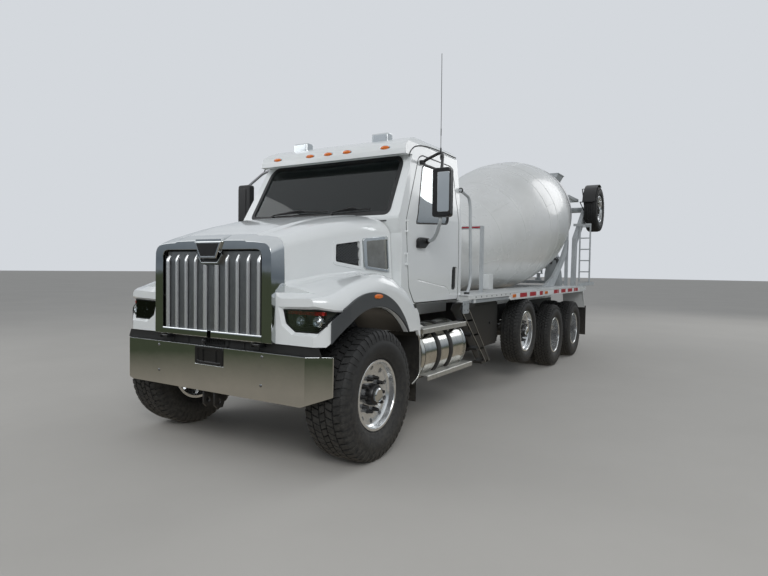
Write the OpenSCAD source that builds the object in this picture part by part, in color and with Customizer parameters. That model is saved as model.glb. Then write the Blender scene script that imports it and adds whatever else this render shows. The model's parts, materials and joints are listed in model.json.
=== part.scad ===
// Concrete mixer truck with a long hood, three fixed axles, a lift axle and a folded trailing axle.
// Millimetres, Z up, front of the truck towards -Y, its left side towards +X.
// Inside truck() y is counted from the front axle and z from the ground.

/* [Stance] */
// Distance of the front axle ahead of the middle of the whole length
front_axle_y = 4582; // [4000:1:5200]
// Lift axle behind the front axle
lift_axle_y = 4150; // [3900:1:4400]
// First drive axle behind the front axle
drive_axle_y = 5760; // [5500:1:6000]
// Distance between the two drive axles
tandem = 1372; // [1300:1:1500]
// Height of the lift axle, raised off the road
lift_axle_z = 722; // [700:1:740]

/* [Tyres and rims] */
// Outer radius of a front tyre
front_tyre_r = 550; // [500:1:560]
// Width of a front tyre
front_tyre_w = 412; // [360:1:430]
// Outer radius of a drive tyre
drive_tyre_r = 518; // [490:1:540]
// Width of a drive tyre
drive_tyre_w = 275; // [250:1:285]
// Outer radius of a lift axle tyre
lift_tyre_r = 470; // [440:1:480]
// Outer radius of a trailing axle tyre
trail_tyre_r = 498; // [460:1:510]
// Radius of the bead seat of every rim
bead_r = 286; // [280:1:290]
// How far the rim flange stands above the bead seat
flange_h = 12; // [8:1:16]
// Half the flange to flange width of a front rim
front_rim_half = 156; // [140:1:165]
// Half the flange to flange width of every other rim
rear_rim_half = 105; // [95:1:115]
// Distance of a rim's outer flange face from the middle of the truck, front
front_flange_x = 1250; // [1220:1:1260]
// Distance of a rim's outer flange face from the middle of the truck, rear
rear_flange_x = 1220; // [1200:1:1240]
// Distance between the middles of twin tyres
twin_gap = 343; // [330:1:360]
// Radius of every wheel spindle
spindle_r = 45; // [35:1:50]

/* [Frame] */
// Outside of one rail to outside of the other
rail_span = 864; // [840:1:900]
// Height of the rails
rail_h = 270; // [240:1:300]
// Width of the rail flanges
rail_flange = 90; // [80:1:100]
// Thickness of the rail steel
rail_t = 11; // [8:1:14]
// Height of the top of the rails
rail_top = 1040; // [1000:1:1080]
// Front end of the rails, from the front axle
rail_front = -560; // [-600:1:-520]
// Rear end of the rails, from the front axle
rail_rear = 8440; // [8400:1:8480]

/* [Cab] */
// Half the width of the cab at the doors
cab_half = 1020; // [980:1:1040]
// Half the width of the cab at the drip rail
cab_top_half = 955; // [930:1:980]
// Underside of the cab
cab_z0 = 1250; // [1220:1:1270]
// Top of the roof
cab_top = 2995; // [2950:1:3020]
// Front of the cab at the firewall
cab_front = 765; // [760:1:780]
// Back of the cab
cab_back = 2110; // [2080:1:2150]
// Thickness of cab walls and doors
cab_wall = 48; // [40:1:56]
// Gap round a door
door_gap = 8; // [6:1:12]
// Rearward lean of the windshield from upright
shield_lean = 29.5; // [26:0.5:33]

/* [Hood] */
// Half the width of the hood at the grille
hood_front_half = 690; // [660:1:720]
// Half the width of the hood at the cowl
hood_rear_half = 930; // [900:1:950]
// Front face of the hood panel
hood_front = -650; // [-670:1:-630]
// Rear edge of the hood
hood_rear = 745; // [720:1:750]
// Height of the hood at the grille
hood_front_z = 1830; // [1790:1:1860]
// Height of the hood at the cowl
hood_rear_z = 2095; // [2060:1:2120]
// Thickness of the hood panels
hood_wall = 30; // [20:1:40]
// Outer side of the fenders
fender_half = 1232; // [1210:1:1240]
// Radius of the wheel arch opening
arch_r = 720; // [700:1:730]
// Height of the middle of the wheel arch
arch_z = 562; // [540:1:580]
// Bottom of the hood and fenders in front
hood_z0 = 1005; // [1000:1:1015]

/* [Drum] */
// Tilt of the drum, rising to the rear
drum_tilt = 13; // [10:0.5:15]
// Height of the drum axis at the gearbox base point
drum_z = 1597; // [1585:1:1640]
// Distance of the gearbox base point behind the front axle
drum_y = 2600; // [2500:1:2700]
// Start of the drum's head, along the axis from the base point
drum_head = 820; // [760:1:880]
// Length of the drum's head dish
head_len = 330; // [280:1:380]
// Length of the front cone
front_cone = 2520; // [2400:1:2600]
// Length of the belly
belly_len = 700; // [600:1:800]
// Length of the rear cone
rear_cone = 1780; // [1700:1:1850]
// Outer radius at the edge of the head
head_r = 620; // [580:1:640]
// Outer radius of the belly
belly_r = 1142; // [1110:1:1160]
// Outer radius of the mouth
mouth_r = 560; // [530:1:580]
// Thickness of the drum shell
shell_t = 9; // [7:1:12]
// Radius of the track ring that rides on the rollers
ring_r = 1020; // [1010:1:1030]
// Width of the track ring
ring_w = 90; // [80:1:100]
// Radius of a drum roller
roller_r = 130; // [110:1:140]
// Angle of the rollers from straight below the axis
roller_angle = 32; // [28:1:36]

/* [Rear end] */
// Height of the deck over the wheels
deck_z = 1310; // [1300:1:1320]
// Outer side of the deck
deck_half = 1220; // [1215:1:1225]
// Thickness of the deck plate
deck_t = 10; // [8:1:12]
// Position of the trailing axle's pivot behind the front axle
trail_y = 8350; // [8330:1:8370]
// Trailing wheel behind its pivot, folded up
trail_reach = 1030; // [1000:1:1050]
// Trailing wheel above its pivot, folded up
trail_rise = 2095; // [2050:1:2110]
// Position of the chute's turning post behind the front axle
chute_y = 8950; // [8900:1:9000]
// Height of the chute's lift pin
chute_z = 1620; // [1600:1:1650]
// Length of the main chute
chute_len = 1000; // [950:1:1020]
// Inner radius of the chutes
chute_r = 230; // [200:1:240]
// Running clearance between a pin and its bore
fit = 0.3; // [0.1:0.1:0.4]

/* [Hidden] */
$fn = 64;
front_w_x = front_flange_x - front_rim_half - flange_h;
rear_w_x = rear_flange_x - rear_rim_half - flange_h;
rail_x = rail_span / 2;
rail_mid = rail_top - rail_h / 2;
sub_top = rail_top + 180;
king_x = 900;
axle_z = front_tyre_r;
drive_z = drive_tyre_r;
arch_y = -20;
hinge_x = cab_half + 18;
hinge_y = 848;
hood_pin_y = -700;
hood_pin_z = 985;
hood_pin_x = 520;
tie_x = 80;
tie_y = 260;
tie_z = 430;
tank_r = 280;
tank_x = 940;
tank_z = 760;
tank_y0 = 870;
tank_y1 = 1890;
s1 = drum_head + head_len;
s2 = s1 + front_cone;
s3 = s2 + belly_len;
s4 = s3 + rear_cone;
ring_s = s3 + 730;
roll_d = ring_r + roller_r + fit;
trail_z = rail_mid;
shaft_z = 880;
lift_beam_r = 46;
shaft_a = atan((shaft_z - drive_z - 40) / (drive_axle_y - 330 - lift_axle_y - 81));
arm_x = 865;
arm_w = 80;
post_x = 775;
post_w = 60;
post_y = 8140;
trough_z = chute_z + 280;
fold_y = chute_y - 100 + chute_len + 12;
fold_z = trough_z + 6;

// Moves from the row frame to the front axle.
module truck() translate([0, -front_axle_y, 0]) children();

// Repeats a left piece on the right.
module both_sides() { children(); mirror([1, 0, 0]) children(); }

// Side profile in (y, z), extruded from x over the width w.
module from_side(x, w) translate([x, 0, 0]) rotate([90, 0, 90]) linear_extrude(w) children();

// Front profile in (x, z), extruded from y over the length l.
module from_front(y, l) translate([0, y + l, 0]) rotate([90, 0, 0]) linear_extrude(l) children();

// Plan profile in (x, y), extruded from z over the height h.
module from_top(z, h) translate([0, 0, z]) linear_extrude(h) children();

// Profile in (radius, x) revolved about the axle line through (y, z).
module about_axle(x, y, z) translate([x, y, z]) rotate([0, 90, 0]) rotate_extrude() children();

// Rod along X, Y or Z from its low end.
module rod_x(x, y, z, r, l) translate([x, y, z]) rotate([0, 90, 0]) cylinder(r = r, h = l);
module rod_y(x, y, z, r, l) translate([x, y, z]) rotate([-90, 0, 0]) cylinder(r = r, h = l);
module rod_z(x, y, z, r, l) translate([x, y, z]) cylinder(r = r, h = l);

// Box from its low corner.
module box(p, s) translate(p) cube(s);

// Tyre: section from bead to tread, width w over the side walls.
module tyre(x, y, z, r, w, rim_half) about_axle(x, y, z) polygon([for (k = [-1, 1])
    each let (h = r - bead_r - fit, q = [[0, rim_half - fit], [flange_h + 2, rim_half - fit],
        [flange_h + 14, 0.43 * w], [0.45 * h, 0.5 * w], [0.80 * h, 0.475 * w],
        [0.93 * h, 0.43 * w], [h, 0.39 * w]])
    [for (i = [0:len(q) - 1]) let (p = q[k < 0 ? i : len(q) - 1 - i])
        [bead_r + fit + p[0], k * p[1]]]]);

// Rim barrel with its two flanges.
module barrel(half) difference() {
    union() {
        translate([0, -half - flange_h]) square([bead_r + flange_h, 2 * (half + flange_h)]);
    }
    translate([0, -half - flange_h - 1]) square([bead_r - 14, 2 * (half + flange_h) + 2]);
    translate([bead_r, -half]) square([2 * flange_h, 2 * half]);
}

// Single wheel: rim, disc near its outer side and hub, k = 1 left or -1 right.
module single_rim(k, x, y, z, half) difference() {
    about_axle(x, y, z) {
        barrel(half);
        polygon([[spindle_r + fit, k * (half - 60)], [bead_r - 8, k * (half - 34)],
            [bead_r - 8, k * (half - 18)], [110, k * (half - 24)], [spindle_r + fit, k * (half - 24)]]);
        polygon([[spindle_r + fit, -k * (half - 78)], [105, -k * (half - 78)],
            [105, k * (half - 24)], [92, k * (half + 26)], [0, k * (half + 34)],
            [0, k * (half + 14)], [spindle_r + fit, k * (half + 14)]]);
    }
    for (a = [0:36:324]) translate([x, y, z]) rotate([a, 0, 0])
        translate([k * half - 100, 0, 212]) rotate([0, 90, 0]) cylinder(r = 22, h = 200);
}

// Twin wheels: two rims bolted disc to disc on one hub, with the brake drum inside.
module twin_rims(k, y) let (m = rear_w_x - twin_gap / 2, o = rear_rim_half) difference() {
    about_axle(k * rear_w_x, y, drive_z) {
        barrel(o);
        translate([0, -k * twin_gap]) barrel(o);
        translate([spindle_r + fit, -k * twin_gap / 2 - 17]) square([bead_r - 8 - spindle_r - fit, 34]);
        polygon([[spindle_r + fit, -k * (twin_gap + 130)], [205, -k * (twin_gap + 130)],
            [205, -k * (twin_gap / 2 + 17)], [110, -k * (twin_gap / 2 - 17)], [100, k * 40],
            [60, k * 62], [0, k * 62], [0, k * 44], [spindle_r + fit, k * 44]]);
        // the rims' own webs from disc to barrel
        polygon([[240, -k * (twin_gap / 2 - 17)], [bead_r - 14, -k * (o + flange_h)],
            [bead_r - 2, -k * (o + flange_h)], [bead_r - 2, -k * (twin_gap / 2 - 17)]]);
        polygon([[240, -k * (twin_gap / 2 + 17)], [bead_r - 14, -k * (twin_gap - o - flange_h)],
            [bead_r - 2, -k * (twin_gap - o - flange_h)], [bead_r - 2, -k * (twin_gap / 2 + 17)]]);
    }
    for (a = [0:36:324]) translate([k * m, y, drive_z]) rotate([a, 0, 0])
        translate([-60, 0, 218]) rotate([0, 90, 0]) cylinder(r = 20, h = 120);
}

// Frame: two channels with cross members, cab pads and front tow plates.
module frame_rails() color("DimGray") truck() {
    both_sides() difference() {
        box([rail_x - rail_flange, rail_front, rail_top - rail_h],
            [rail_flange, rail_rear - rail_front, rail_h]);
        box([rail_x - rail_flange - 1, rail_front - 1, rail_top - rail_h + rail_t],
            [rail_flange - rail_t + 1, rail_rear - rail_front + 2, rail_h - 2 * rail_t]);
    }
    for (y = [1500, 2500, 3500, 4700, 6410, 7800])
        box([-rail_x + rail_t, y, rail_top - 90], [rail_span - 2 * rail_t, 70, 80]);
    box([-rail_x + rail_t, -540, rail_mid - 90], [rail_span - 2 * rail_t, 70, 180]);
    // hood hinge bar with its lugs and pins
    box([-hood_pin_x - 82, rail_front - 40, 955], [2 * hood_pin_x + 164, 40, 30]);
    both_sides() {
        for (x = [hood_pin_x - 20, hood_pin_x + 66])
            box([x, hood_pin_y - 17, hood_pin_z - 17], [14, rail_front - 20 - hood_pin_y, 26]);
        rod_x(hood_pin_x - 20, hood_pin_y, hood_pin_z, 10, 100);
    }
    // cab pads
    for (y = [cab_front + 40, cab_back - 120]) both_sides()
        box([rail_x - rail_flange, y, rail_top], [rail_flange, 80, cab_z0 - rail_top]);
    // tow plates under the bumper
    for (x = [-75, 55]) from_side(x, 20) difference() {
        polygon([[-690, 560], [-690, 440], [-660, 410], [-600, 410], [-545, 560],
            [-545, rail_mid - 85], [-600, rail_mid - 85]]);
        translate([-645, 465]) circle(r = 24);
    }
    box([-75, -545, 600], [150, 20, rail_mid - 80 - 600]);
    // bumper arms
    both_sides() box([rail_x - rail_flange, -702, rail_top - rail_h + 30],
        [rail_flange - rail_t, 702 + rail_front, 90]);
    // trailing axle pivot shaft
    rod_x(-arm_x - arm_w - 10, trail_y, trail_z, 40, 2 * (arm_x + arm_w + 10));
}

// Bumper: one folded plate, wrapped back at its ends and cut up at its lower corners.
module bumper() color("Silver") truck() difference() {
    from_top(550, 400) difference() {
        polygon([[-1215, -572], [-1215, -580], [-1045, -712], [1045, -712], [1215, -580],
            [1215, -572], [1207, -572], [1207, -576], [1042, -702], [-1042, -702],
            [-1207, -576], [-1207, -572]]);
    }
    both_sides() from_front(-800, 400) polygon([[790, 540], [1300, 540], [1300, 668], [1215, 652]]);
}

// Engine with its gearbox behind, one plain block.
module engine() color("SlateGray") truck() {
    from_front(-330, 1040) polygon([[-190, 700], [190, 700], [300, 900], [330, 1200], [300, 1600],
        [-300, 1600], [-330, 1200], [-300, 900]]);
    rod_y(0, 709, 900, 235, 200);
    rod_y(0, 908, 900, 160, 560);
    both_sides() box([295, 100, 860], [rail_x - rail_t - 295, 120, 60]);
}

// Radiator on the front cross member.
module radiator() color("DarkSlateGray") truck() {
    box([-470, -545, rail_top], [940, 90, 630]);
    both_sides() box([270, -535, rail_mid + 90], [60, 60, rail_top - rail_mid - 90]);
}

// Front axle beam with its king pin eyes and leaf springs.
module front_suspension() color("DimGray") truck() {
    difference() {
        union() {
            from_front(-50, 100) polygon([[-king_x, 500], [-760, 490], [-620, 400], [620, 400],
                [760, 490], [king_x, 500], [king_x, 600], [740, 590], [600, 490], [-600, 490],
                [-740, 590], [-king_x, 600]]);
            both_sides() rod_z(king_x, 0, 490, 48, 120);
        }
        both_sides() rod_z(king_x, 0, 480, 24 + fit, 140);
    }
    both_sides() {
        // leaf spring arc, seats and shackles
        from_side(rail_x - 90, 80) difference() {
            translate([0, 490 + 2300]) circle(r = 2300, $fn = 128);
            translate([0, 540 + 2300]) circle(r = 2300, $fn = 128);
            translate([-3000, 850]) square([6000, 5000]);
            translate([-3000, 0]) square([2470, 5000]);
            translate([690, 0]) square([3000, 5000]);
        }
        box([rail_x - 90, -540, 585], [80, 50, rail_top - rail_h - 585]);
        box([rail_x - 90, 640, 610], [80, 50, rail_top - rail_h - 610]);
    }
}

// Knuckle: pin, two ears, spindle and steering arm, k = 1 left or -1 right.
module knuckle(k) truck() mirror([k < 0 ? 1 : 0, 0, 0]) {
    rod_z(king_x, 0, 440, 24, 220);
    for (z = [440, 616]) difference() {
        box([king_x - 48, -48, z], [126, 96, 44]);
        rod_z(king_x, 0, z - 1, 24, 46);
    }
    box([king_x + 58, -60, 440], [40, 120, 220]);
    rod_x(king_x + 98, 0, axle_z, spindle_r, 250);
    from_top(tie_z - 18, 34) polygon([[king_x + 58, -20], [king_x + 98, -20], [king_x + 98, 40],
        [king_x - tie_x + 25, tie_y + 25], [king_x - tie_x - 25, tie_y + 25],
        [king_x - tie_x - 25, tie_y - 20], [king_x + 58, 20]]);
    if (k > 0) rod_z(king_x - tie_x, tie_y, tie_z - 60, 15, 45);
}
module knuckle_left() color("Gray") knuckle(1);
module knuckle_right() color("Gray") knuckle(-1);

// Tie rod between the two steering arms.
module tie_rod() color("Gray") truck() difference() {
    union() {
        rod_x(-king_x + tie_x, tie_y, tie_z - 42, 18, 2 * (king_x - tie_x));
        both_sides() rod_z(king_x - tie_x, tie_y, tie_z - 64, 28, 39);
    }
    rod_z(king_x - tie_x, tie_y, tie_z - 70, 15 + fit, 60);
}

module front_tyre_left() color("DimGray") truck()
    tyre(front_w_x, 0, axle_z, front_tyre_r, front_tyre_w, front_rim_half);
module front_tyre_right() color("DimGray") truck()
    tyre(-front_w_x, 0, axle_z, front_tyre_r, front_tyre_w, front_rim_half);
module front_rim_left() color("Silver") truck()
    single_rim(1, front_w_x, 0, axle_z, front_rim_half);
module front_rim_right() color("Silver") truck()
    single_rim(-1, -front_w_x, 0, axle_z, front_rim_half);

// Drive axle housings with spindles, and the lift axle's cranked beam.
module rear_axles() color("DimGray") truck() {
    for (y = [drive_axle_y, drive_axle_y + tandem]) {
        rod_x(-600, y, drive_z, 75, 1200);
        both_sides() rod_x(600, y, drive_z, spindle_r, rear_w_x - 600 + 30);
        about_axle(0, y, drive_z) polygon([[0, -165], [140, -165], [210, -70], [210, 70],
            [140, 165], [0, 165]]);
        rod_y(0, y - 330, drive_z + 40, 90, 200);
    }
    rod_x(-640, lift_axle_y, lift_axle_z, lift_beam_r, 1280);
    both_sides() rod_x(640, lift_axle_y, lift_axle_z, spindle_r, rear_w_x - 640 + rear_rim_half);
}

// Walking beams and torque boxes of the tandem, springs of the lift axle, propeller shafts.
module rear_suspension() color("DimGray") truck() {
    both_sides() {
        from_side(rail_x + 20, 90) difference() {
            polygon([[drive_axle_y - 110, drive_z - 200], [drive_axle_y + tandem + 110, drive_z - 200],
                [drive_axle_y + tandem + 110, drive_z - 75.5],
                [drive_axle_y + tandem - 110, drive_z - 75.5], [drive_axle_y + tandem / 2 + 170, 620],
                [drive_axle_y + tandem / 2 - 170, 620], [drive_axle_y + 110, drive_z - 75.5],
                [drive_axle_y - 110, drive_z - 75.5]]);
        }
        box([rail_x + 20, drive_axle_y + tandem / 2 - 160, 620], [90, 320, 150]);
        box([rail_x, drive_axle_y + tandem / 2 - 240, 770], [130, 480, 230]);
        rod_z(rail_x + 70, lift_axle_y, lift_axle_z + lift_beam_r, 62, 145);
        box([rail_x, lift_axle_y - 90, lift_axle_z + lift_beam_r + 145], [140, 180, 60]);
        // trailing arm of the lift axle and its hanger
        from_side(rail_x + 30, 50) polygon([[lift_axle_y - 520, 800], [lift_axle_y - 400, 800],
            [lift_axle_y - 380, 700], [lift_axle_y - 110, lift_axle_z - lift_beam_r],
            [lift_axle_y + 90, lift_axle_z - lift_beam_r], [lift_axle_y + 90, 600], [lift_axle_y - 130, 600],
            [lift_axle_y - 480, 640]]);
        box([rail_x, lift_axle_y - 530, 795], [90, 140, 200]);
    }
    rod_y(0, 1468.5, shaft_z, 55, lift_axle_y - 1468.5 + 80);
    translate([0, lift_axle_y + 81, shaft_z]) rotate([-90 - shaft_a, 0, 0])
        cylinder(r = 50, h = (drive_axle_y - 330.5 - lift_axle_y - 81) / cos(shaft_a)
            - 50 * tan(shaft_a));
    rod_y(0, drive_axle_y + 210.5, drive_z + 40, 45, tandem - 330.5 - 210.5);
}

module lift_tyre_left() color("DimGray") truck()
    tyre(rear_w_x, lift_axle_y, lift_axle_z, lift_tyre_r, drive_tyre_w, rear_rim_half);
module lift_tyre_right() color("DimGray") truck()
    tyre(-rear_w_x, lift_axle_y, lift_axle_z, lift_tyre_r, drive_tyre_w, rear_rim_half);
module lift_rim_left() color("Silver") truck()
    single_rim(1, rear_w_x, lift_axle_y, lift_axle_z, rear_rim_half);
module lift_rim_right() color("Silver") truck()
    single_rim(-1, -rear_w_x, lift_axle_y, lift_axle_z, rear_rim_half);

// Two tyres of a twin wheel.
module twin_tyres(k, y) for (d = [0, twin_gap])
    tyre(k * (rear_w_x - d), y, drive_z, drive_tyre_r, drive_tyre_w, rear_rim_half);
module drive1_tyres_left() color("DimGray") truck() twin_tyres(1, drive_axle_y);
module drive1_rims_left() color("Silver") truck() twin_rims(1, drive_axle_y);
module drive1_tyres_right() color("DimGray") truck() twin_tyres(-1, drive_axle_y);
module drive1_rims_right() color("Silver") truck() twin_rims(-1, drive_axle_y);
module drive2_tyres_left() color("DimGray") truck() twin_tyres(1, drive_axle_y + tandem);
module drive2_rims_left() color("Silver") truck() twin_rims(1, drive_axle_y + tandem);
module drive2_tyres_right() color("DimGray") truck() twin_tyres(-1, drive_axle_y + tandem);
module drive2_rims_right() color("Silver") truck() twin_rims(-1, drive_axle_y + tandem);

// Trailing axle: cranked arms on the pivot shaft, cross axle and spindles.
module trail_arms() color("DimGray") truck() let (wy = trail_y + trail_reach, wz = trail_z + trail_rise)
    difference() {
        union() {
            both_sides() from_side(arm_x, arm_w) {
                polygon([[trail_y - 70, trail_z - 30], [trail_y + 70, trail_z - 30],
                    [trail_y + 170, trail_z + 1300], [wy + 60, wz - 90], [wy + 60, wz + 60],
                    [wy - 60, wz + 60], [trail_y + 20, trail_z + 1400]]);
                translate([trail_y, trail_z]) circle(r = 75);
            }
            rod_x(-arm_x - 5, wy, wz, 60, 2 * arm_x + 10);
            both_sides() rod_x(arm_x + arm_w - 2, wy, wz, spindle_r,
                rear_w_x + rear_rim_half - arm_x - arm_w);
        }
        rod_x(-arm_x - arm_w - 1, trail_y, trail_z, 40 + fit, 2 * (arm_x + arm_w + 1));
    }
module trail_tyre(k) truck() tyre(k * rear_w_x, trail_y + trail_reach, trail_z + trail_rise,
    trail_tyre_r, drive_tyre_w, rear_rim_half);
module trail_rim(k) truck() single_rim(k, k * rear_w_x, trail_y + trail_reach,
    trail_z + trail_rise, rear_rim_half);
module trail_tyre_left() color("DimGray") trail_tyre(1);
module trail_tyre_right() color("DimGray") trail_tyre(-1);
module trail_rim_left() color("Silver") trail_rim(1);
module trail_rim_right() color("Silver") trail_rim(-1);

// Side outline of the cab, moved in by e.
function cab_side(e) = [[cab_front + e, cab_z0 + e], [cab_front + e, 1950], [700 + e, 2085],
    [700 + 1.15 * e, 2110], [1068 + 1.15 * e, 2760], [1110 + e, 2860 - 0.4 * e],
    [1200 + e, 2940 - e], [1340, cab_top - e], [1850, cab_top - e], [2040 - e, 2940 - e],
    [cab_back - e, 2780], [cab_back - e, cab_z0 + e]];

// Front outline of the cab, moved in by e.
function cab_face(e) = let (h = [[cab_half - e, cab_z0 + e], [cab_half - e, 2150],
    [cab_top_half - e, 2790], [900 - e, 2900 - 0.6 * e], [760 - e, 2965 - e], [560, cab_top + 1 - e]])
    concat(h, [for (i = [len(h) - 1:-1:0]) [-h[i][0], h[i][1]]]);

// The cab's outer form, moved in by e.
module cab_form(e) intersection() {
    from_side(-cab_half - 10, 2 * cab_half + 20) polygon(cab_side(e));
    from_front(600, 1600) polygon(cab_face(e));
}

// Wall of the cab's sides only, between insets a and b, x > 0.
module cab_side_wall(a, b) from_front(600, 1600) difference() {
    polygon(cab_face(a));
    polygon(cab_face(b));
    translate([-2000, 0]) square([2000 + cab_half - b, cab_z0 + b]);
    translate([-2000, 0]) square([2500, 4000]);
}

// Door outline, moved in by e.
function door_edge(e) = [[965 + e, 1268 + e], [1975 - e, 1268 + e], [1995 - e, 1700],
    [1985 - e, 2150], [1940 - e, 2660], [1900 - e, 2775 - e], [1260 + e, 2775 - e],
    [1195 + e, 2740 - e], [868 + e, 2110], [856 + e, 1880]];

// Window outline in the door.
function pane_edge(e) = [[1035 + e, 2095 + e], [1800 - e, 2135 + e], [1815 - e, 2620 - e],
    [1780 - e, 2700 - e], [1345 + e, 2700 - e], [1290 + e, 2660 - e]];

// Windshield outline across the slope.
function shield_edge(e) = [[-865 + e, 30 + e], [865 - e, 30 + e], [830 - e, 690 - e],
    [770 - e, 725 - e], [-770 + e, 725 - e], [-830 + e, 690 - e]];
module on_shield(y, l) translate([0, 700, 2110]) rotate([-shield_lean, 0, 0])
    from_front(y, l) children();

// Hinge barrels of the doors: pin pieces on the cab between two door barrels.
door_pins = [1700, 2020];

// Cab: hollow shell with door openings, windshield and rear window cut.
module cab_shell() color("WhiteSmoke") truck() {
    difference() {
        cab_form(0);
        cab_form(cab_wall);
        both_sides() difference() {
            from_side(cab_top_half - 140, 300) polygon(door_edge(-door_gap));
            box([700, 700, cab_z0], [cab_half - cab_wall - 700, 1500, cab_wall]);
        }
        on_shield(-60, 160) polygon(shield_edge(0));
        from_front(cab_back - 100, 200) polygon([[-480, 2150], [480, 2150], [480, 2620],
            [-480, 2620]]);
    }
    // hinge pins with their lugs
    both_sides() for (z = door_pins) {
        rod_z(hinge_x, hinge_y, z - 60, 7, 120);
        for (h = [z - 60, z + 42]) box([cab_half - 20, hinge_y - 26, h], [38, 26, 18]);
        rod_z(hinge_x, hinge_y, z - 60, 12, 18);
        rod_z(hinge_x, hinge_y, z + 42, 12, 18);
    }
}

// Windshield and rear window.
module cab_glass() color("LightBlue", 0.5) truck() {
    on_shield(14, 8) polygon(shield_edge(0));
    from_front(cab_back - 30, 8) polygon([[-480, 2150], [480, 2150], [480, 2620], [-480, 2620]]);
}

// Dashboard, column and wheel, two seats.
module cab_interior() color("DarkGray") truck() {
    from_side(-880, 1760) polygon([[cab_front + cab_wall, 1650], [cab_front + cab_wall, 1952],
        [792, 2050], [1000, 2040], [1060, 1960], [1030, 1700]]);
    translate([450, 1040, 1900]) rotate([-55, 0, 0]) {
        translate([0, 0, -60]) cylinder(r = 30, h = 180);
        translate([0, 0, 110]) rotate_extrude() translate([215, 0]) circle(r = 15);
        for (a = [0:120:240]) rotate([0, 0, a]) translate([-14, 0, 104]) cube([28, 210, 12]);
    }
    both_sides() {
        box([230, 1500, cab_z0 + cab_wall], [440, 420, 250]);
        from_side(200, 500) polygon([[1380, 1548], [1940, 1548], [2010, 2300], [1920, 2320],
            [1850, 1690], [1390, 1680]]);
        from_side(310, 280) polygon([[1915, 2321], [2011, 2301], [2025, 2480], [1935, 2500]]);
    }
}

// Five roof marker lights and two roof boxes.
module roof_lights() color("Orange") truck() {
    difference() {
        union() {
            for (x = [-700, -350, 0, 350, 700]) box([x - 55, 1240, cab_top - 90], [110, 70, 105]);
            for (x = [-480, 480]) box([x - 90, 1480, cab_top - 20], [180, 200, 110]);
        }
        cab_form(0);
    }
}

// Plan outline of the hood and fenders, moved out by e.
function fender_plan(e) = [[600, hood_front - e], [1060 + 0.4 * e, hood_front - e],
    [1180 + 0.8 * e, -560 - 0.6 * e], [fender_half + e, -400 - 0.3 * e],
    [fender_half + e, 780], [600, 780]];

// Lamp opening in the fender's front.
module lamp_block() intersection() {
    from_front(-800, 400) polygon([[708, 1273], [1094, 1286], [1215, 1262], [1091, 1103],
        [791, 1098], [722, 1150], [708, 1193]]);
    from_top(1000, 400) difference() {
        polygon(fender_plan(6));
        translate([0, 60]) polygon(fender_plan(0));
        translate([500, -330]) square([800, 1200]);
    }
}

// Central hood, moved in by e.
module hood_form(e) intersection() {
    from_top(0, 3000) polygon([[-hood_front_half + e, hood_front + e],
        [hood_front_half - e, hood_front + e], [hood_rear_half - e, 150],
        [hood_rear_half - e, hood_rear + (e > 0 ? 10 : 0)],
        [-hood_rear_half + e, hood_rear + (e > 0 ? 10 : 0)], [-hood_rear_half + e, 150]]);
    from_side(-1000, 2000) polygon([[hood_front, hood_z0 - (e > 0 ? 10 : 0)],
        [hood_front, hood_front_z - e], [-500, hood_front_z + 60 - e], [200, 2030 - e],
        [hood_rear - 80, hood_rear_z + 25 - e], [hood_rear + 10, hood_rear_z - e],
        [hood_rear + 10, hood_z0 - (e > 0 ? 10 : 0)]]);
    from_front(-700, 1500) polygon([[-940 + e, 900], [940 - e, 900], [930 - e, 1850],
        [860 - e, 2030 - e], [640, 2100 - e], [0, 2130 - e], [-640, 2100 - e], [-860 + e, 2030 - e],
        [-930 + e, 1850]]);
}

// Hood: hollow centre, fenders with open wheel arches, grille and lamp openings, vent recess.
module hood_shell() color("WhiteSmoke") truck() {
    difference() {
        union() {
            hood_form(0);
            both_sides() intersection() {
                from_top(900, 900) polygon(fender_plan(0));
                from_side(600, 700) polygon([[hood_front, hood_z0], [hood_front, 1345],
                    [-560, 1400], [-420, 1470], [-200, 1560], [100, 1620], [350, 1600],
                    [560, 1500], [700, 1340], [775, 1180], [780, 1060], [hood_rear - 60, 1060]]);
                from_front(-700, 1500) polygon([[600, 900], [1300, 900], [1300, 1300],
                    [fender_half - 2, 1410], [1150, 1500], [1000, 1570], [860, 1640], [600, 1700]]);
            }
        }
        hood_form(hood_wall);
        from_side(-1400, 2800) polygon(cab_side(-12));
        // wheel arches
        both_sides() rod_x(560, arch_y, arch_z, arch_r, 800);
        // grille opening
        from_front(hood_front - 10, 60) square_x(1180, 1030, 1740);
        both_sides() lamp_block();
        // open at the cowl and under the engine bay
        box([-hood_rear_half + hood_wall, hood_rear - 20, 900],
            [2 * (hood_rear_half - hood_wall), 100, 1000]);
    }
    // hinge barrels under the grille
    both_sides() difference() {
        union() {
            rod_x(hood_pin_x, hood_pin_y, hood_pin_z, 18, 60);
            box([hood_pin_x, hood_pin_y, hood_pin_z + 4], [60, hood_front - hood_pin_y + 30, 18]);
            box([hood_pin_x, hood_front, hood_pin_z + 4], [60, hood_wall, 26]);
        }
        rod_x(hood_pin_x - 1, hood_pin_y, hood_pin_z, 10 + fit, 62);
    }
}

// Rectangle w wide about x = 0 from z0 to z1.
module square_x(w, z0, z1) translate([-w / 2, z0]) square([w, z1 - z0]);

// Grille: bright surround, upright bars and the mesh plate behind them.
module grille() color("Silver") truck() {
    from_front(hood_front - 40, 40) difference() {
        polygon([[-680, 1010], [680, 1010], [720, 1500], [700, 1790], [640, 1835], [-640, 1835],
            [-700, 1790], [-720, 1500]]);
        square_x(1180, 1030, 1740);
    }
    for (i = [-4:4]) box([i * 130 - (i == 0 ? 20 : 11), hood_front - 38, 1030],
        [i == 0 ? 40 : 22, 22, 710]);
    from_front(hood_front - 16, 6) square_x(1180, 1030, 1740);
}

module headlamps() color("Black") truck() both_sides() lamp_block();

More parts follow.
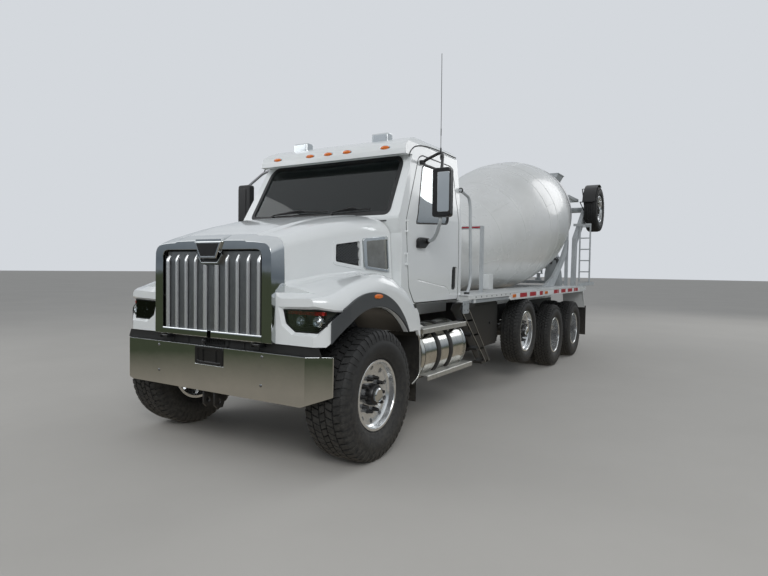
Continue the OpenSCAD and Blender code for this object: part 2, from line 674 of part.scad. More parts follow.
// Dark flares on the wheel arches.
module arch_flares() color("DimGray") truck() both_sides() difference() {
    intersection() {
        from_top(1030, 500) difference() {
            polygon(fender_plan(18));
            polygon(fender_plan(0));
            translate([500, -900]) square([600, 2000]);
        }
        from_side(900, 500) difference() {
            translate([arch_y, arch_z + 50]) circle(r = 790, $fn = 180);
            translate([arch_y, arch_z]) circle(r = arch_r + 6, $fn = 180);
        }
    }
    lamp_block();
}

// Door: one panel as thick as the cab wall, window cut, hinge barrels on its front edge.
module door(k) truck() mirror([k < 0 ? 1 : 0, 0, 0]) {
    intersection() {
        cab_side_wall(0, cab_wall);
        from_side(700, 400) difference() {
            polygon(door_edge(0));
            polygon(pane_edge(0));
        }
    }
    for (z = door_pins) difference() {
        union() {
            rod_z(hinge_x, hinge_y, z - 41.7, 12, 83.4);
            box([hinge_x - 8, hinge_y, z - 41.7], [8, 72, 83.4]);
            box([cab_half - 8, hinge_y + 52, z - 41.7], [26, 20, 83.4]);
        }
        rod_z(hinge_x, hinge_y, z - 50, 7 + fit, 100);
    }
}
module door_left() color("WhiteSmoke") door(1);
module door_right() color("WhiteSmoke") door(-1);

module door_glass(k) truck() mirror([k < 0 ? 1 : 0, 0, 0]) intersection() {
    cab_side_wall(20, 26);
    from_side(700, 400) polygon(pane_edge(0));
}
module door_glass_left() color("LightBlue", 0.5) door_glass(1);
module door_glass_right() color("LightBlue", 0.5) door_glass(-1);

// Mirror: tall head on two arms from the door's front corner.
module door_mirror(k) truck() mirror([k < 0 ? 1 : 0, 0, 0]) {
    box([1190, 980, 2120], [220, 80, 460]);
    box([cab_half, 930, 1990], [34, 60, 130]);
    from_top(2096, 24) polygon([[cab_half, 940], [1230, 1000], [1230, 1030], [cab_half, 975]]);
    from_top(2560, 24) polygon([[980, 1140], [1200, 1000], [1230, 1030], [980, 1180]]);
}
module mirror_left() color("Black") door_mirror(1);
module mirror_right() color("Black") door_mirror(-1);

// Fuel tanks on their brackets.
module fuel_tanks() color("Silver") truck() both_sides() {
    rod_y(tank_x, tank_y0, tank_z, tank_r, tank_y1 - tank_y0);
    for (y = [tank_y0 + 150, tank_y1 - 210]) from_front(y, 60) difference() {
        polygon([[rail_x, 1000], [rail_x, 620], [700, 500], [800, 500], [700, 700], [700, 1000]]);
        translate([tank_x, tank_z]) circle(r = tank_r - 1);
    }
}

// Straps round the tanks with the two treads that they carry.
module tank_steps() color("DarkGray") truck() both_sides() {
    for (y = [tank_y0 + 90, tank_y1 - 140]) from_front(y, 50) difference() {
        union() {
            translate([tank_x, tank_z]) circle(r = tank_r + 9);
            polygon([[1140, 545], [1265, 545], [1265, 575], [1235, 760], [1230, 1028], [1095, 1028]]);
        }
        translate([tank_x, tank_z]) circle(r = tank_r + fit);
        translate([rail_x, 400]) square([700 - rail_x, 660]);
    }
    box([1152, tank_y0 - 150, 545], [113, 1260, 30]);
    box([1092, tank_y0 - 110, 1000], [138, 1130, 30]);
}

// Deck over the rear wheels: cross bearers, plate, side boards and sloped rear ends.
module deck() color("WhiteSmoke") truck() {
    both_sides() {
        box([342, 2200, rail_top], [90, rail_rear - 2200, sub_top - rail_top]);
        box([560, cab_back + 20, deck_z - deck_t], [deck_half - 560, 7600 - cab_back - 20, deck_t]);
        box([800, 7600, deck_z - deck_t], [deck_half - 800, 270, deck_t]);
        box([deck_half - 12, 1978, 1265], [12, 3420 - 1978, deck_z - 1265]);
        box([deck_half - 12, 3420, 1205], [12, 4450, deck_z - deck_t - 1205]);
        from_side(800, deck_half - 800) polygon([[7870, deck_z], [7870, deck_z - deck_t],
            [8050, 870], [8062, 874], [7884, deck_z]]);
    }
    for (y = [2150, 3370, 7700, 8140])
        box([-deck_half + 12, y, sub_top], [2 * (deck_half - 12), 60,
            (y > 8000 ? 80 : deck_z - deck_t - sub_top)]);
    // bearers beside the drum's belly
    for (y = [4900, 6400]) both_sides()
        box([rail_x - rail_flange, y, sub_top], [deck_half - 12 - rail_x + rail_flange, 60,
            deck_z - deck_t - sub_top]);
}

// Mud flaps, their hangers, and the closed boxes under the deck.
module flaps_and_boxes() color("Black") truck() both_sides() {
    box([900, 700, 350], [330, 8, 640]);
    rod_x(rail_x, 718, 978, 12, 800);
    box([640, 8180, 300], [580, 8, 600]);
    rod_x(rail_x, 8192, 880, 12, 780);
    box([760, 2350, 620], [440, 1000, deck_z - deck_t - 620]);
}

// Moves to the drum axis: local z runs up the drum from the base point.
module on_drum() truck() translate([0, drum_y, drum_z]) rotate([-90 + drum_tilt, 0, 0]) children();

// Front stand of the gearbox and rear stand of the rollers, with the hopper posts.
module pedestals() color("LightGray") {
    // gearbox stand: base between the subframe beams, end plate and webs
    intersection() {
        on_drum() translate([0, 0, 390]) linear_extrude(30) difference() {
            polygon([[-300, 900], [-300, 100], [-220, -180], [220, -180], [300, 100], [300, 900]]);
            circle(r = 112);
        }
        truck() box([-400, 2000, sub_top], [800, 2000, 1500]);
    }
    truck() {
        both_sides() from_side(265, 30) polygon([[2640, sub_top], [3060, sub_top], [2960, 1640],
            [2900, 1640]]);
        box([-342, 2640, rail_top + 60], [684, 500, 120]);
    }
    // roller stand: bearing plates before and behind each roller on one cross beam
    difference() {
        intersection() {
            for (a = [-1, 1], z = [-ring_w / 2 - 45, ring_w / 2 + 15]) on_drum()
                translate([0, 0, ring_s + z]) linear_extrude(30) polygon([[a * 430, 1700],
                    [a * 470, 1200], [a * 540, 925], [a * 700, 925], [a * 770, 1200], [a * 790, 1700]]);
            truck() box([-900, 7000, sub_top], [1800, 2000, 1500]);
        }
        for (a = [-1, 1]) on_drum() rotate([0, 0, a * roller_angle])
            translate([0, roll_d, ring_s - 200]) cylinder(r = 30 + fit, h = 400);
    }
    truck() {
        box([-790, 7830, sub_top], [1580, 190, 80]);
        both_sides() {
            box([post_x, post_y, sub_top + 80], [post_w, post_w, 1840]);
            box([post_x, post_y, 3140], [post_w, 880, post_w]);
        }
        box([-post_x - 5, 8960, 3140], [2 * post_x + 10, post_w, post_w]);
        // bracket of the chute with its sleeve
        box([-post_x - 5, post_y, chute_z - 280], [2 * post_x + 10, post_w, 60]);
        difference() {
            union() {
                box([-60, post_y + post_w - 5, chute_z - 280], [120, chute_y - post_y - post_w, 60]);
                rod_z(0, chute_y, chute_z - 280, 75, 100);
            }
            rod_z(0, chute_y, chute_z - 300, 40 + fit, 140);
        }
    }
}

// Drum gearbox with its motor and output flange.
module drum_gearbox() color("Gray") {
    on_drum() {
        translate([0, 0, 420]) cylinder(r = 248, h = 300);
        translate([0, 0, 719]) cylinder(r = 190, h = drum_head - 719.3);
        translate([0, 0, 120]) cylinder(r = 110, h = 301);
    }
}

// Profile of the drum in (radius, length), moved in by e.
function drum_line(e) = [[head_r * 0.5, drum_head + e], [head_r * 0.86, drum_head + 130 + e],
    [head_r - e, s1], [belly_r - 40 - e, s2 - 370], [belly_r - e, s2], [belly_r - e, s3],
    [belly_r - 45 - e, s3 + 380], [mouth_r - e, s4]];

// Drum: hollow shell, open mouth with a rolled lip, track ring and head plate.
module drum() color("LightGray") on_drum() {
    rotate_extrude($fn = 128) difference() {
        polygon(concat([[0, drum_head]], drum_line(0), [[0, s4]]));
        polygon(concat([[0, drum_head + shell_t]], drum_line(shell_t),
            [[mouth_r - shell_t, s4 + 1], [0, s4 + 1]]));
    }
    rotate_extrude($fn = 128) polygon([[ring_r - 46, ring_s - ring_w / 2],
        [ring_r, ring_s - ring_w / 2], [ring_r, ring_s + ring_w / 2], [ring_r - 80, ring_s + ring_w / 2]]);
}

// Roller under the track ring, k = 1 left or -1 right, with its pins in the bearings.
module roller(k) on_drum() rotate([0, 0, k * roller_angle]) translate([0, roll_d, ring_s]) {
    translate([0, 0, -ring_w / 2]) cylinder(r = roller_r, h = ring_w);
    translate([0, 0, -ring_w / 2 - 60]) cylinder(r = 30, h = ring_w + 120);
}
module roller_left() color("DimGray") roller(-1);
module roller_right() color("DimGray") roller(1);

// Charge hopper over the mouth and the collector under it.
module hoppers() color("LightGray") difference() {
    truck() {
        difference() {
            hull_box(8640, 9130, 480, 3760, 8640, 8860, 230, 3202);
            hull_box(8649, 9121, 471, 3775, 8649, 8851, 221, 3187);
        }
        difference() {
            hull_box(8600, 9150, 430, 2900, 8640, 9050, 190, 2240);
            hull_box(8609, 9141, 421, 2915, 8649, 9041, 181, 2225);
        }
        both_sides() {
            from_side(190, 20) polygon([[8960, 3200], [9020, 3200], [9020, 3538], [8960, 3414]]);
            from_side(408, 20) polygon([[8960, 3140], [9020, 3140], [9020, 2880], [8960, 2880]]);
        }
    }
    on_drum() {
        translate([0, 0, s4 - 500]) cylinder(r1 = mouth_r + 230, r2 = mouth_r + 38, h = 500);
        translate([0, 0, s4 - 1]) cylinder(r = mouth_r + 38, h = 31);
    }
}

// Straight loft between two rectangles in plan: y from a0 to a1 and half width ax at az, and below.
module hull_box(a0, a1, ax, az, b0, b1, bx, bz) polyhedron(points = [[-ax, a0, az], [ax, a0, az],
    [ax, a1, az], [-ax, a1, az], [-bx, b0, bz], [bx, b0, bz], [bx, b1, bz], [-bx, b1, bz]],
    faces = [[3, 2, 1, 0], [4, 5, 6, 7], [0, 1, 5, 4], [1, 2, 6, 5], [2, 3, 7, 6], [3, 0, 4, 7]]);

// Ladder at the left rear, rail behind the cab.
module ladder_and_rails() color("Gray") truck() {
    box([1150, 7700, deck_z], [50, 1600, 60]);
    for (y = [8650, 9230]) box([1155, y, deck_z + 60], [40, 40, 1020]);
    for (z = [1600, 1880, 2160]) box([1162, 8690, z], [26, 540, 26]);
}

// Chute: turning post, main chute and folding end.
module chute_post() color("Gray") truck() {
    rod_z(0, chute_y, chute_z - 290, 40, 230);
    box([-90, chute_y - 45, chute_z - 80], [180, 90, 20]);
    for (x = [-85, 60]) difference() {
        from_side(x, 25) union() {
            translate([chute_y - 30, chute_z - 62]) square([60, 62]);
            translate([chute_y, chute_z]) circle(r = 30);
        }
        rod_x(x - 1, chute_y, chute_z, 15 + fit, 27);
    }
}
module trough(y, l, z, up) from_front(y, l) difference() {
    translate([0, z]) circle(r = chute_r + 6);
    translate([0, z]) circle(r = chute_r);
    translate([-500, up ? z : z - 600]) square([1000, 600]);
}
module main_chute() color("LightGray") truck() {
    difference() {
        union() {
            trough(chute_y - 100, chute_len, trough_z, true);
            from_side(-50, 100) polygon([[chute_y - 32, chute_z], [chute_y - 22, chute_z - 28],
                [chute_y + 22, chute_z - 28], [chute_y + 32, chute_z],
                [chute_y + 90, trough_z - chute_r - 2], [chute_y - 90, trough_z - chute_r - 2]]);
        }
        rod_y(0, chute_y - 200, trough_z, chute_r, 400);
    }
    rod_x(-88, chute_y, chute_z, 15, 176);
    both_sides() difference() {
        union() {
            box([chute_r, fold_y - 72, trough_z - 60], [20, 55, 52]);
            box([chute_r + 12, fold_y - 72, trough_z - 60], [8, 92, 84]);
        }
        rod_x(chute_r - 10, fold_y, fold_z, 10 + fit, 60);
        rod_y(0, fold_y - 100, trough_z, chute_r, 200);
    }
}
module fold_chute() color("LightGray") truck() {
    trough(chute_y + 230, fold_y - 27 - chute_y - 230, trough_z + 12, false);
    both_sides() {
        box([chute_r + 2, fold_y - 162, trough_z + 20], [32, 60, 34]);
        box([chute_r + 26, fold_y - 162, fold_z - 18], [8, 182, 66]);
        rod_x(chute_r + 8, fold_y, fold_z, 10, 24);
    }
}

frame_rails();
bumper();
engine();
radiator();
front_suspension();
knuckle_left();
knuckle_right();
tie_rod();
front_tyre_left();
front_rim_left();
front_tyre_right();
front_rim_right();
rear_axles();
rear_suspension();
lift_tyre_left();
lift_rim_left();
lift_tyre_right();
lift_rim_right();
drive1_tyres_left();
drive1_rims_left();
drive1_tyres_right();
drive1_rims_right();
drive2_tyres_left();
drive2_rims_left();
drive2_tyres_right();
drive2_rims_right();
trail_tyre_left();
trail_rim_left();
trail_tyre_right();
trail_rim_right();
trail_arms();
cab_shell();
cab_glass();
cab_interior();
roof_lights();
hood_shell();
grille();
headlamps();
arch_flares();
door_left();
door_right();
door_glass_left();
door_glass_right();
mirror_left();
mirror_right();
fuel_tanks();
tank_steps();
deck();
flaps_and_boxes();
pedestals();
drum_gearbox();
drum();
roller_left();
roller_right();
hoppers();
ladder_and_rails();
chute_post();
main_chute();
fold_chute();
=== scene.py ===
"""Looks of a concrete mixer truck with a long hood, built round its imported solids.

Lengths are millimetres in the truck's own frame, as in the part's source: x to its left, y back
from the front axle, z up from the road. raw_object() turns them into the frame's metres.
"""

import json
import math

import bmesh
import bpy
import numpy as np
from mathutils import Matrix, Vector


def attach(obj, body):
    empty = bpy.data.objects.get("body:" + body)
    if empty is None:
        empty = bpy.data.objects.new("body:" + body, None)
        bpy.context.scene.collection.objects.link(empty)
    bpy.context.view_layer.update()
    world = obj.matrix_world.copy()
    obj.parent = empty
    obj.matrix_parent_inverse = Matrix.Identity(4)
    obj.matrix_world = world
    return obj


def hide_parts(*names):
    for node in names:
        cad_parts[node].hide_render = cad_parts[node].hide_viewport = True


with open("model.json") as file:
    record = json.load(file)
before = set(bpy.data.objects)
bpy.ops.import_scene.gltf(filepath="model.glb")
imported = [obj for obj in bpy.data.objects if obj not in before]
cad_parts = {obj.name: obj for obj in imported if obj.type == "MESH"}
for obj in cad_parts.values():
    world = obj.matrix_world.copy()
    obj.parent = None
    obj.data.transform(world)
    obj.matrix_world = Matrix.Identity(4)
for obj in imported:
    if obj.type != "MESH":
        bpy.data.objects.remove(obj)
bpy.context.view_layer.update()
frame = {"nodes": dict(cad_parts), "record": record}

AXLE_AHEAD = 4582.0  # front axle ahead of the middle of the length
NODES = frame["nodes"]
BODIES = {n: b for b, names in frame["record"]["behaviour"]["bodies"].items() for n in names}
SIDES = (("left", 1), ("right", -1))


# Colour and node helpers

def paint(code, alpha=1.0):
    """sRGB hex to a linear colour."""
    channels = [int(code[i:i + 2], 16) / 255 for i in (0, 2, 4)]
    return [c / 12.92 if c <= 0.04045 else ((c + 0.055) / 1.055) ** 2.4 for c in channels] + [alpha]


def add(tree, kind, settings=None, links=None):
    """Adds a node, sets its properties and sockets, and links sockets to it."""
    made = tree.nodes.new("ShaderNode" + kind)
    for key, value in (settings or {}).items():
        if isinstance(key, str) and hasattr(made, key):
            setattr(made, key, value)
        else:
            made.inputs[key].default_value = value
    for key, socket in (links or {}).items():
        tree.links.new(socket, made.inputs[key])
    return made


def per_mm(size):
    """Noise scale that gives features of that many millimetres."""
    return 1000.0 / size


def finish(name, base, second=None, patch=300, share=0.5, rough=(0.3, 0.5), grain=2.0, bump=0.0,
           bump_mm=0.2, metallic=0.0, ior=1.5, coat=0.0, dust=None, dust_top=0.9, stretch=None):
    """Principled surface: two tones in patches, roughness in the same patches, fine grain as bump,
    and dust that fades out with height above the road."""
    mat = bpy.data.materials.new(name)
    mat.use_nodes = True
    tree = mat.node_tree
    tree.nodes.clear()
    where = add(tree, "TexCoord").outputs["Object"]
    cloud = add(tree, "TexNoise", {"Scale": per_mm(patch), "Detail": 5.0, "Roughness": 0.6},
                {"Vector": where})
    spread = add(tree, "MapRange", {"From Min": 0.35, "From Max": 0.65, "To Max": share},
                 {"Value": cloud.outputs["Fac"]})
    tone = add(tree, "Mix", {"data_type": "RGBA", 6: paint(base), 7: paint(second or base)},
               {0: spread.outputs[0]})
    colour = tone.outputs[2]
    gloss = add(tree, "MapRange", {"To Min": rough[0], "To Max": rough[1]},
                {"Value": cloud.outputs["Fac"]}).outputs[0]
    shader = add(tree, "BsdfPrincipled", {"Metallic": metallic, "Coat Weight": coat,
                 "Coat Roughness": 0.04})
    if metallic < 0.5:
        shader.inputs["IOR"].default_value = ior
    if dust:
        height = add(tree, "SeparateXYZ", {}, {0: where}).outputs[2]
        fade = add(tree, "MapRange", {"From Min": 0.15, "From Max": dust_top, "To Min": 0.85,
                   "To Max": 0.0}, {"Value": height}).outputs[0]
        specks = add(tree, "TexNoise", {"Scale": per_mm(35), "Detail": 8.0, "Roughness": 0.75},
                     {"Vector": where}).outputs["Fac"]
        spots = add(tree, "MapRange", {"From Min": 0.38, "From Max": 0.62}, {"Value": specks}).outputs[0]
        cover = add(tree, "Math", {"operation": "MULTIPLY"}, {0: fade, 1: spots}).outputs[0]
        colour = add(tree, "Mix", {"data_type": "RGBA", 7: paint(dust)}, {0: cover, 6: colour}).outputs[2]
        gloss = add(tree, "Math", {"operation": "MAXIMUM"}, {0: gloss, 1: cover}).outputs[0]
    tree.links.new(colour, shader.inputs["Base Color"])
    tree.links.new(gloss, shader.inputs["Roughness"])
    if bump:
        if stretch:
            where = add(tree, "Mapping", {"Scale": stretch}, {"Vector": where}).outputs[0]
        fine = add(tree, "TexNoise", {"Scale": per_mm(grain), "Detail": 3.0}, {"Vector": where})
        relief = add(tree, "Bump", {"Strength": bump, "Distance": bump_mm / 1000},
                     {"Height": fine.outputs["Fac"]})
        tree.links.new(relief.outputs[0], shader.inputs["Normal"])
    add(tree, "OutputMaterial", {}, {"Surface": shader.outputs[0]})
    return mat


def pane(name, tint, share, rough=0.02):
    """Toughened glass: a clear tinted pane, part of the light straight through and part mirrored."""
    mat = bpy.data.materials.new(name)
    mat.use_nodes = True
    tree = mat.node_tree
    tree.nodes.clear()
    through = add(tree, "BsdfTransparent", {"Color": paint(tint)})
    face = add(tree, "BsdfPrincipled", {"Base Color": paint("F4F8F8"), "Roughness": rough,
               "Metallic": 1.0})
    edge = add(tree, "Fresnel", {"IOR": 1.52}).outputs[0]
    amount = add(tree, "Math", {"operation": "MULTIPLY_ADD", 1: 1.0 - share, 2: share}, {0: edge}).outputs[0]
    mix = add(tree, "MixShader", {}, {0: amount, 1: through.outputs[0], 2: face.outputs[0]})
    add(tree, "OutputMaterial", {}, {"Surface": mix.outputs[0]})
    return mat


# Baked two-coat enamel on the cab, hood and doors: deep gloss, hardly any tone change.
cab_enamel = finish("cab_white_enamel", "E4E7E7", "DBDFDF", 900, 0.5, (0.12, 0.2), coat=0.5, dust="B9B4A8",
                    dust_top=0.75)
# Sprayed white enamel on the deck's side boards and posts, a little thinner and dirtier.
deck_enamel = finish("deck_white_enamel", "DCDFDF", "CDD0CF", 500, 0.6, (0.28, 0.4), coat=0.2, dust="A59F92",
                     dust_top=1.0)
# Grey enamel on the front part of the deck and the brackets below the cab.
deck_grey = finish("deck_grey_enamel", "9AA0A3", "878C8F", 260, 0.6, (0.34, 0.48), 4, 0.06, 0.2, dust="857F74",
                   dust_top=1.1)
# Polyurethane paint on the rolled drum: satin sheen; the sheet's slight waves bend its reflections.
drum_enamel = finish("drum_white_enamel", "DEE0DF", "CBCDCA", 900, 0.7, (0.2, 0.34), 420, 0.35, 9.0, coat=0.25,
                     stretch=(1.0, 0.22, 1.0))
# Grey machine enamel on pedestals, hopper, chutes and ladder.
machine_enamel = finish("machine_grey_enamel", "BBC0C2", "A4A9AC", 240, 0.6, (0.34, 0.5), 4, 0.06, 0.2,
                        dust="9B968B", dust_top=1.1)
# Black chassis paint: satin, road dust on everything below the deck.
chassis_black = finish("chassis_black_paint", "141415", "1D1D1E", 180, 0.6, (0.34, 0.5), 5, 0.1, 0.3,
                       dust="33312D", dust_top=0.8)
# Grey cast iron hubs, axles and engine, painted thin, dusty.
cast_iron = finish("cast_iron_grey", "303132", "232324", 60, 0.7, (0.5, 0.68), 3, 0.35, 0.6, dust="5E5951",
                   dust_top=1.1)
# Chromed steel: mirror bright with very fine polishing haze and the plate's slow waves.
chrome = finish("chromed_steel", "D2D5D6", "C3C7C9", 250, 0.4, (0.03, 0.07), 260, 0.12, 4.0, metallic=1.0)
# Chromed plate on the hood's side: its colour is darkened to a brownish grey, a painted reflection of the ground.
panel_chrome_painted_reflection = finish("chromed_side_panel_painted_reflection", "A3A19B", "7F7C75", 140, 0.6, (0.05, 0.12), 90, 0.25, 3.0, metallic=1.0)
# Dull bright wire of the grille mesh, painted with grey zinc.
mesh_zinc = finish("zinc_grey_mesh", "A3A5A8", "8C8E91", 80, 0.6, (0.3, 0.45), metallic=1.0)
# Satin chromed bars of the grille: half mirror, half soft sheen.
bar_chrome = finish("satin_chromed_bar", "DADCDD", "C9CBCD", 120, 0.5, (0.16, 0.26), metallic=0.6)
# Polished forged aluminium wheels.
wheel_alloy = finish("polished_aluminium_wheel", "DFE1E2", "CACCCD", 90, 0.6, (0.12, 0.22), 3, 0.03, 0.1,
                     metallic=0.8)
# Polished aluminium tank sheet, drawn round: soft vertical streaks.
tank_alloy = finish("polished_aluminium_tank", "D6D6D2", "B9B9B4", 110, 0.6, (0.12, 0.22), 60, 0.1, 1.5,
                    metallic=1.0, stretch=(1.0, 3.0, 1.0))
# Extruded aluminium treads, dull and scuffed.
tread_alloy = finish("extruded_aluminium_tread", "C6C6C2", "A9A9A4", 60, 0.7, (0.36, 0.55), 2, 0.15, 0.2,
                     metallic=0.85)
# Turned steel rollers and pins.
bare_steel = finish("turned_steel", "8B8C8E", "6F6F71", 40, 0.7, (0.3, 0.45), 2, 0.1, 0.1, metallic=1.0)
# Vulcanised tyre rubber, grey with road dust on the tread.
tyre_rubber = finish("tyre_rubber", "1B1C1D", "262727", 90, 0.7, (0.58, 0.8), 2, 0.35, 0.5, dust="45433F",
                     dust_top=1.1)
# Rubber flaps and seals.
flap_rubber = finish("flap_rubber", "131313", "1D1D1C", 120, 0.6, (0.55, 0.75), 3, 0.2, 0.3, dust="4E4A42",
                     dust_top=1.0)
seal_rubber = finish("extruded_rubber_seal", "101011", "1A1A1B", 90, 0.5, (0.4, 0.58), 2, 0.15, 0.2)
# Moulded grained polypropylene flares.
flare_plastic = finish("moulded_grey_flare", "3F4244", "494C4E", 200, 0.5, (0.46, 0.6), 1.6, 0.25, 0.15)
black_plastic = finish("moulded_black_plastic", "111112", "1A1A1B", 120, 0.5, (0.3, 0.45), 1.6, 0.25, 0.15)
# Cab trim: grained grey vinyl over foam.
cab_trim = finish("grained_grey_vinyl", "2C2C2D", "383736", 150, 0.5, (0.55, 0.7), 2, 0.3, 0.2)
# Acrylic marker lenses and the lamp's inner parts.
amber_lens = finish("amber_acrylic", "D9671A", "EF8A33", 20, 0.5, (0.1, 0.18), coat=0.6)
red_lens = finish("red_acrylic", "8F1B1A", "B3302A", 20, 0.5, (0.1, 0.18), coat=0.6)
white_lens = finish("clear_lamp_bowl", "D8DDE0", "B6BCC2", 12, 0.6, (0.06, 0.14), metallic=0.7)
# Retroreflective tape, red and white stretches.
red_tape = finish("red_reflective_tape", "B3192B", "9E1526", 30, 0.6, (0.3, 0.4), 3, 0.2, 0.1)
white_tape = finish("white_reflective_tape", "E9EBEC", "DADDE0", 30, 0.6, (0.3, 0.4), 3, 0.2, 0.1)
shield_glass = pane("windshield_glass", "D3E2E0", 0.0)
door_pane_glass = pane("door_glass", "DAE8E6", 0.5)
lamp_cover = pane("clear_polycarbonate", "F4F7F8", 0.01)


# Mesh helpers: a part is (vertices, faces) in millimetres of the truck frame

def brick(low, high):
    (a, b, c), (d, e, f) = low, high
    return ([(a, b, c), (d, b, c), (d, e, c), (a, e, c), (a, b, f), (d, b, f), (d, e, f), (a, e, f)],
            [(0, 3, 2, 1), (4, 5, 6, 7), (0, 1, 5, 4), (1, 2, 6, 5), (2, 3, 7, 6), (3, 0, 4, 7)])


def loft(rings, caps=True):
    """Closed rings of the same count joined one to the next, the ends filled."""
    n, last = len(rings[0]), len(rings) - 1
    verts = [tuple(p) for ring in rings for p in ring]
    faces = [(i * n + j, i * n + (j + 1) % n, (i + 1) * n + (j + 1) % n, (i + 1) * n + j)
             for i in range(last) for j in range(n)]
    if caps:
        faces += [tuple(range(n - 1, -1, -1)), tuple(range(last * n, (last + 1) * n))]
    return verts, faces


def prism(profile, axis, start, end):
    """Outline drawn in the plane across the axis: (y, z) for x, (x, z) for y, (x, y) for z."""
    turn = {"x": lambda p, a: (a, p[0], p[1]), "y": lambda p, a: (p[0], a, p[1]),
            "z": lambda p, a: (p[0], p[1], a)}[axis]
    return loft([[turn(p, start) for p in profile], [turn(p, end) for p in profile]])


def revolve(profile, centre, axis, steps=64):
    """Profile of (radius, along) turned about an axis through the centre."""
    axis, centre = Vector(axis).normalized(), Vector(centre)
    side = axis.orthogonal().normalized()
    up = axis.cross(side)
    verts, faces, n = [], [], len(profile)
    for k in range(steps):
        turn = 2 * math.pi * k / steps
        out = side * math.cos(turn) + up * math.sin(turn)
        verts += [tuple(centre + out * r + axis * a) for r, a in profile]
    for k in range(steps):
        for i in range(n):
            j, m = (i + 1) % n, (k + 1) % steps
            faces.append((k * n + i, k * n + j, m * n + j, m * n + i))
    return verts, faces


def round_ring(at, side, up, radius, sides):
    """Points of a circle in the plane of two directions."""
    turns = [2 * math.pi * k / sides for k in range(sides)]
    return [tuple(at + (side * math.cos(t) + up * math.sin(t)) * radius) for t in turns]


def rod(start, end, radius, sides=12):
    """Straight round bar."""
    start, end = Vector(start), Vector(end)
    ahead = (end - start).normalized()
    side = ahead.orthogonal().normalized()
    up = ahead.cross(side)
    return loft([round_ring(at, side, up, radius, sides) for at in (start, end)])


def tube(points, radius, sides=10):
    """Round bar bent along the points, capped."""
    points = [Vector(p) for p in points]
    rings, side = [], None
    for i, p in enumerate(points):
        ahead = (points[min(i + 1, len(points) - 1)] - points[max(i - 1, 0)]).normalized()
        side = ahead.orthogonal() if side is None else side - ahead * side.dot(ahead)
        side.normalize()
        rings.append(round_ring(p, side, ahead.cross(side), radius, sides))
    return loft(rings)


def bend(points, radius, steps=6):
    """Corner points joined by rounded corners."""
    points = [Vector(p) for p in points]
    path = [points[0]]
    for before, corner, after in zip(points, points[1:], points[2:]):
        a, b = before - corner, after - corner
        back = min(radius, a.length * 0.49, b.length * 0.49)
        start, end = corner + a.normalized() * back, corner + b.normalized() * back
        for k in range(steps + 1):
            t = k / steps
            path.append(start * (1 - t) ** 2 + corner * 2 * t * (1 - t) + end * t ** 2)
    return path + [points[-1]]


def soften(outline, radius, steps=5):
    """Closed plane outline with its corners rounded."""
    closed = [Vector((*p, 0)) for p in outline]
    path = bend([(closed[-1] + closed[0]) / 2] + closed + [(closed[-1] + closed[0]) / 2], radius, steps)
    return [(p.x, p.y) for p in path[:-1]]


def rect(left, low, right, high):
    """Outline of an upright rectangle."""
    return [(left, low), (right, low), (right, high), (left, high)]


def moved(part, matrix):
    """The part turned and shifted by a matrix."""
    return [tuple(matrix @ Vector(v)) for v in part[0]], part[1]


def mirrored(part):
    return [(-x, y, z) for x, y, z in part[0]], part[1]


def both(part):
    return join([part, mirrored(part)])


def on_side(part, sign):
    return part if sign > 0 else mirrored(part)


def join(parts):
    """Several parts as one."""
    verts, faces = [], []
    for v, f in parts:
        base = len(verts)
        verts += v
        faces += [tuple(base + i for i in face) for face in f]
    return verts, faces


def raw_object(name, part):
    """Mesh object of a part in the row's metres, all faces turned outwards."""
    points = np.asarray(part[0], float).reshape(-1, 3)
    points[:, 1] -= AXLE_AHEAD
    mesh = bpy.data.meshes.new(name)
    mesh.from_pydata([tuple(p) for p in points * 0.001], [], part[1])
    work = bmesh.new()
    work.from_mesh(mesh)
    bmesh.ops.recalc_face_normals(work, faces=work.faces)
    work.to_mesh(mesh)
    work.free()
    made = bpy.data.objects.new(name, mesh)
    bpy.context.scene.collection.objects.link(made)
    return made


def settle(made):
    """Fixes an object's modifiers into its mesh."""
    bpy.context.view_layer.update()
    made.data = bpy.data.meshes.new_from_object(made.evaluated_get(bpy.context.evaluated_depsgraph_get()))
    made.modifiers.clear()
    return made


def cut(tool):
    return "DIFFERENCE", tool


def cross(tool):
    return "INTERSECT", tool


def fuse(tool):
    return "UNION", tool


def carve(made, *steps):
    """Works other solids into an object; each step is cut, cross or fuse of a part or an object."""
    tools = []
    for what, tool in steps:
        tool = raw_object("tool", tool) if isinstance(tool, tuple) else tool
        change = made.modifiers.new(what, "BOOLEAN")
        change.operation, change.solver, change.object = what, "EXACT", tool
        tools.append(tool)
    settle(made)
    for tool in tools:
        bpy.data.objects.remove(tool)
    return made


def softened(made, width, segments=4, angle=20):
    """Rounds an object's edges before other cuts are made."""
    edge = made.modifiers.new("edge", "BEVEL")
    edge.width, edge.segments, edge.limit_method = width / 1000, segments, "ANGLE"
    edge.angle_limit = math.radians(angle)
    return settle(made)


def twin(made):
    """A copy of an object with its own mesh."""
    copy = made.copy()
    copy.data = made.data.copy()
    bpy.context.scene.collection.objects.link(copy)
    return copy


def flipped(made, keep=True):
    """The object on the truck's other side, as a copy unless keep is off."""
    copy = twin(made) if keep else made
    copy.data.transform(Matrix.Scale(-1, 4, (1, 0, 0)))
    copy.data.flip_normals()
    return copy


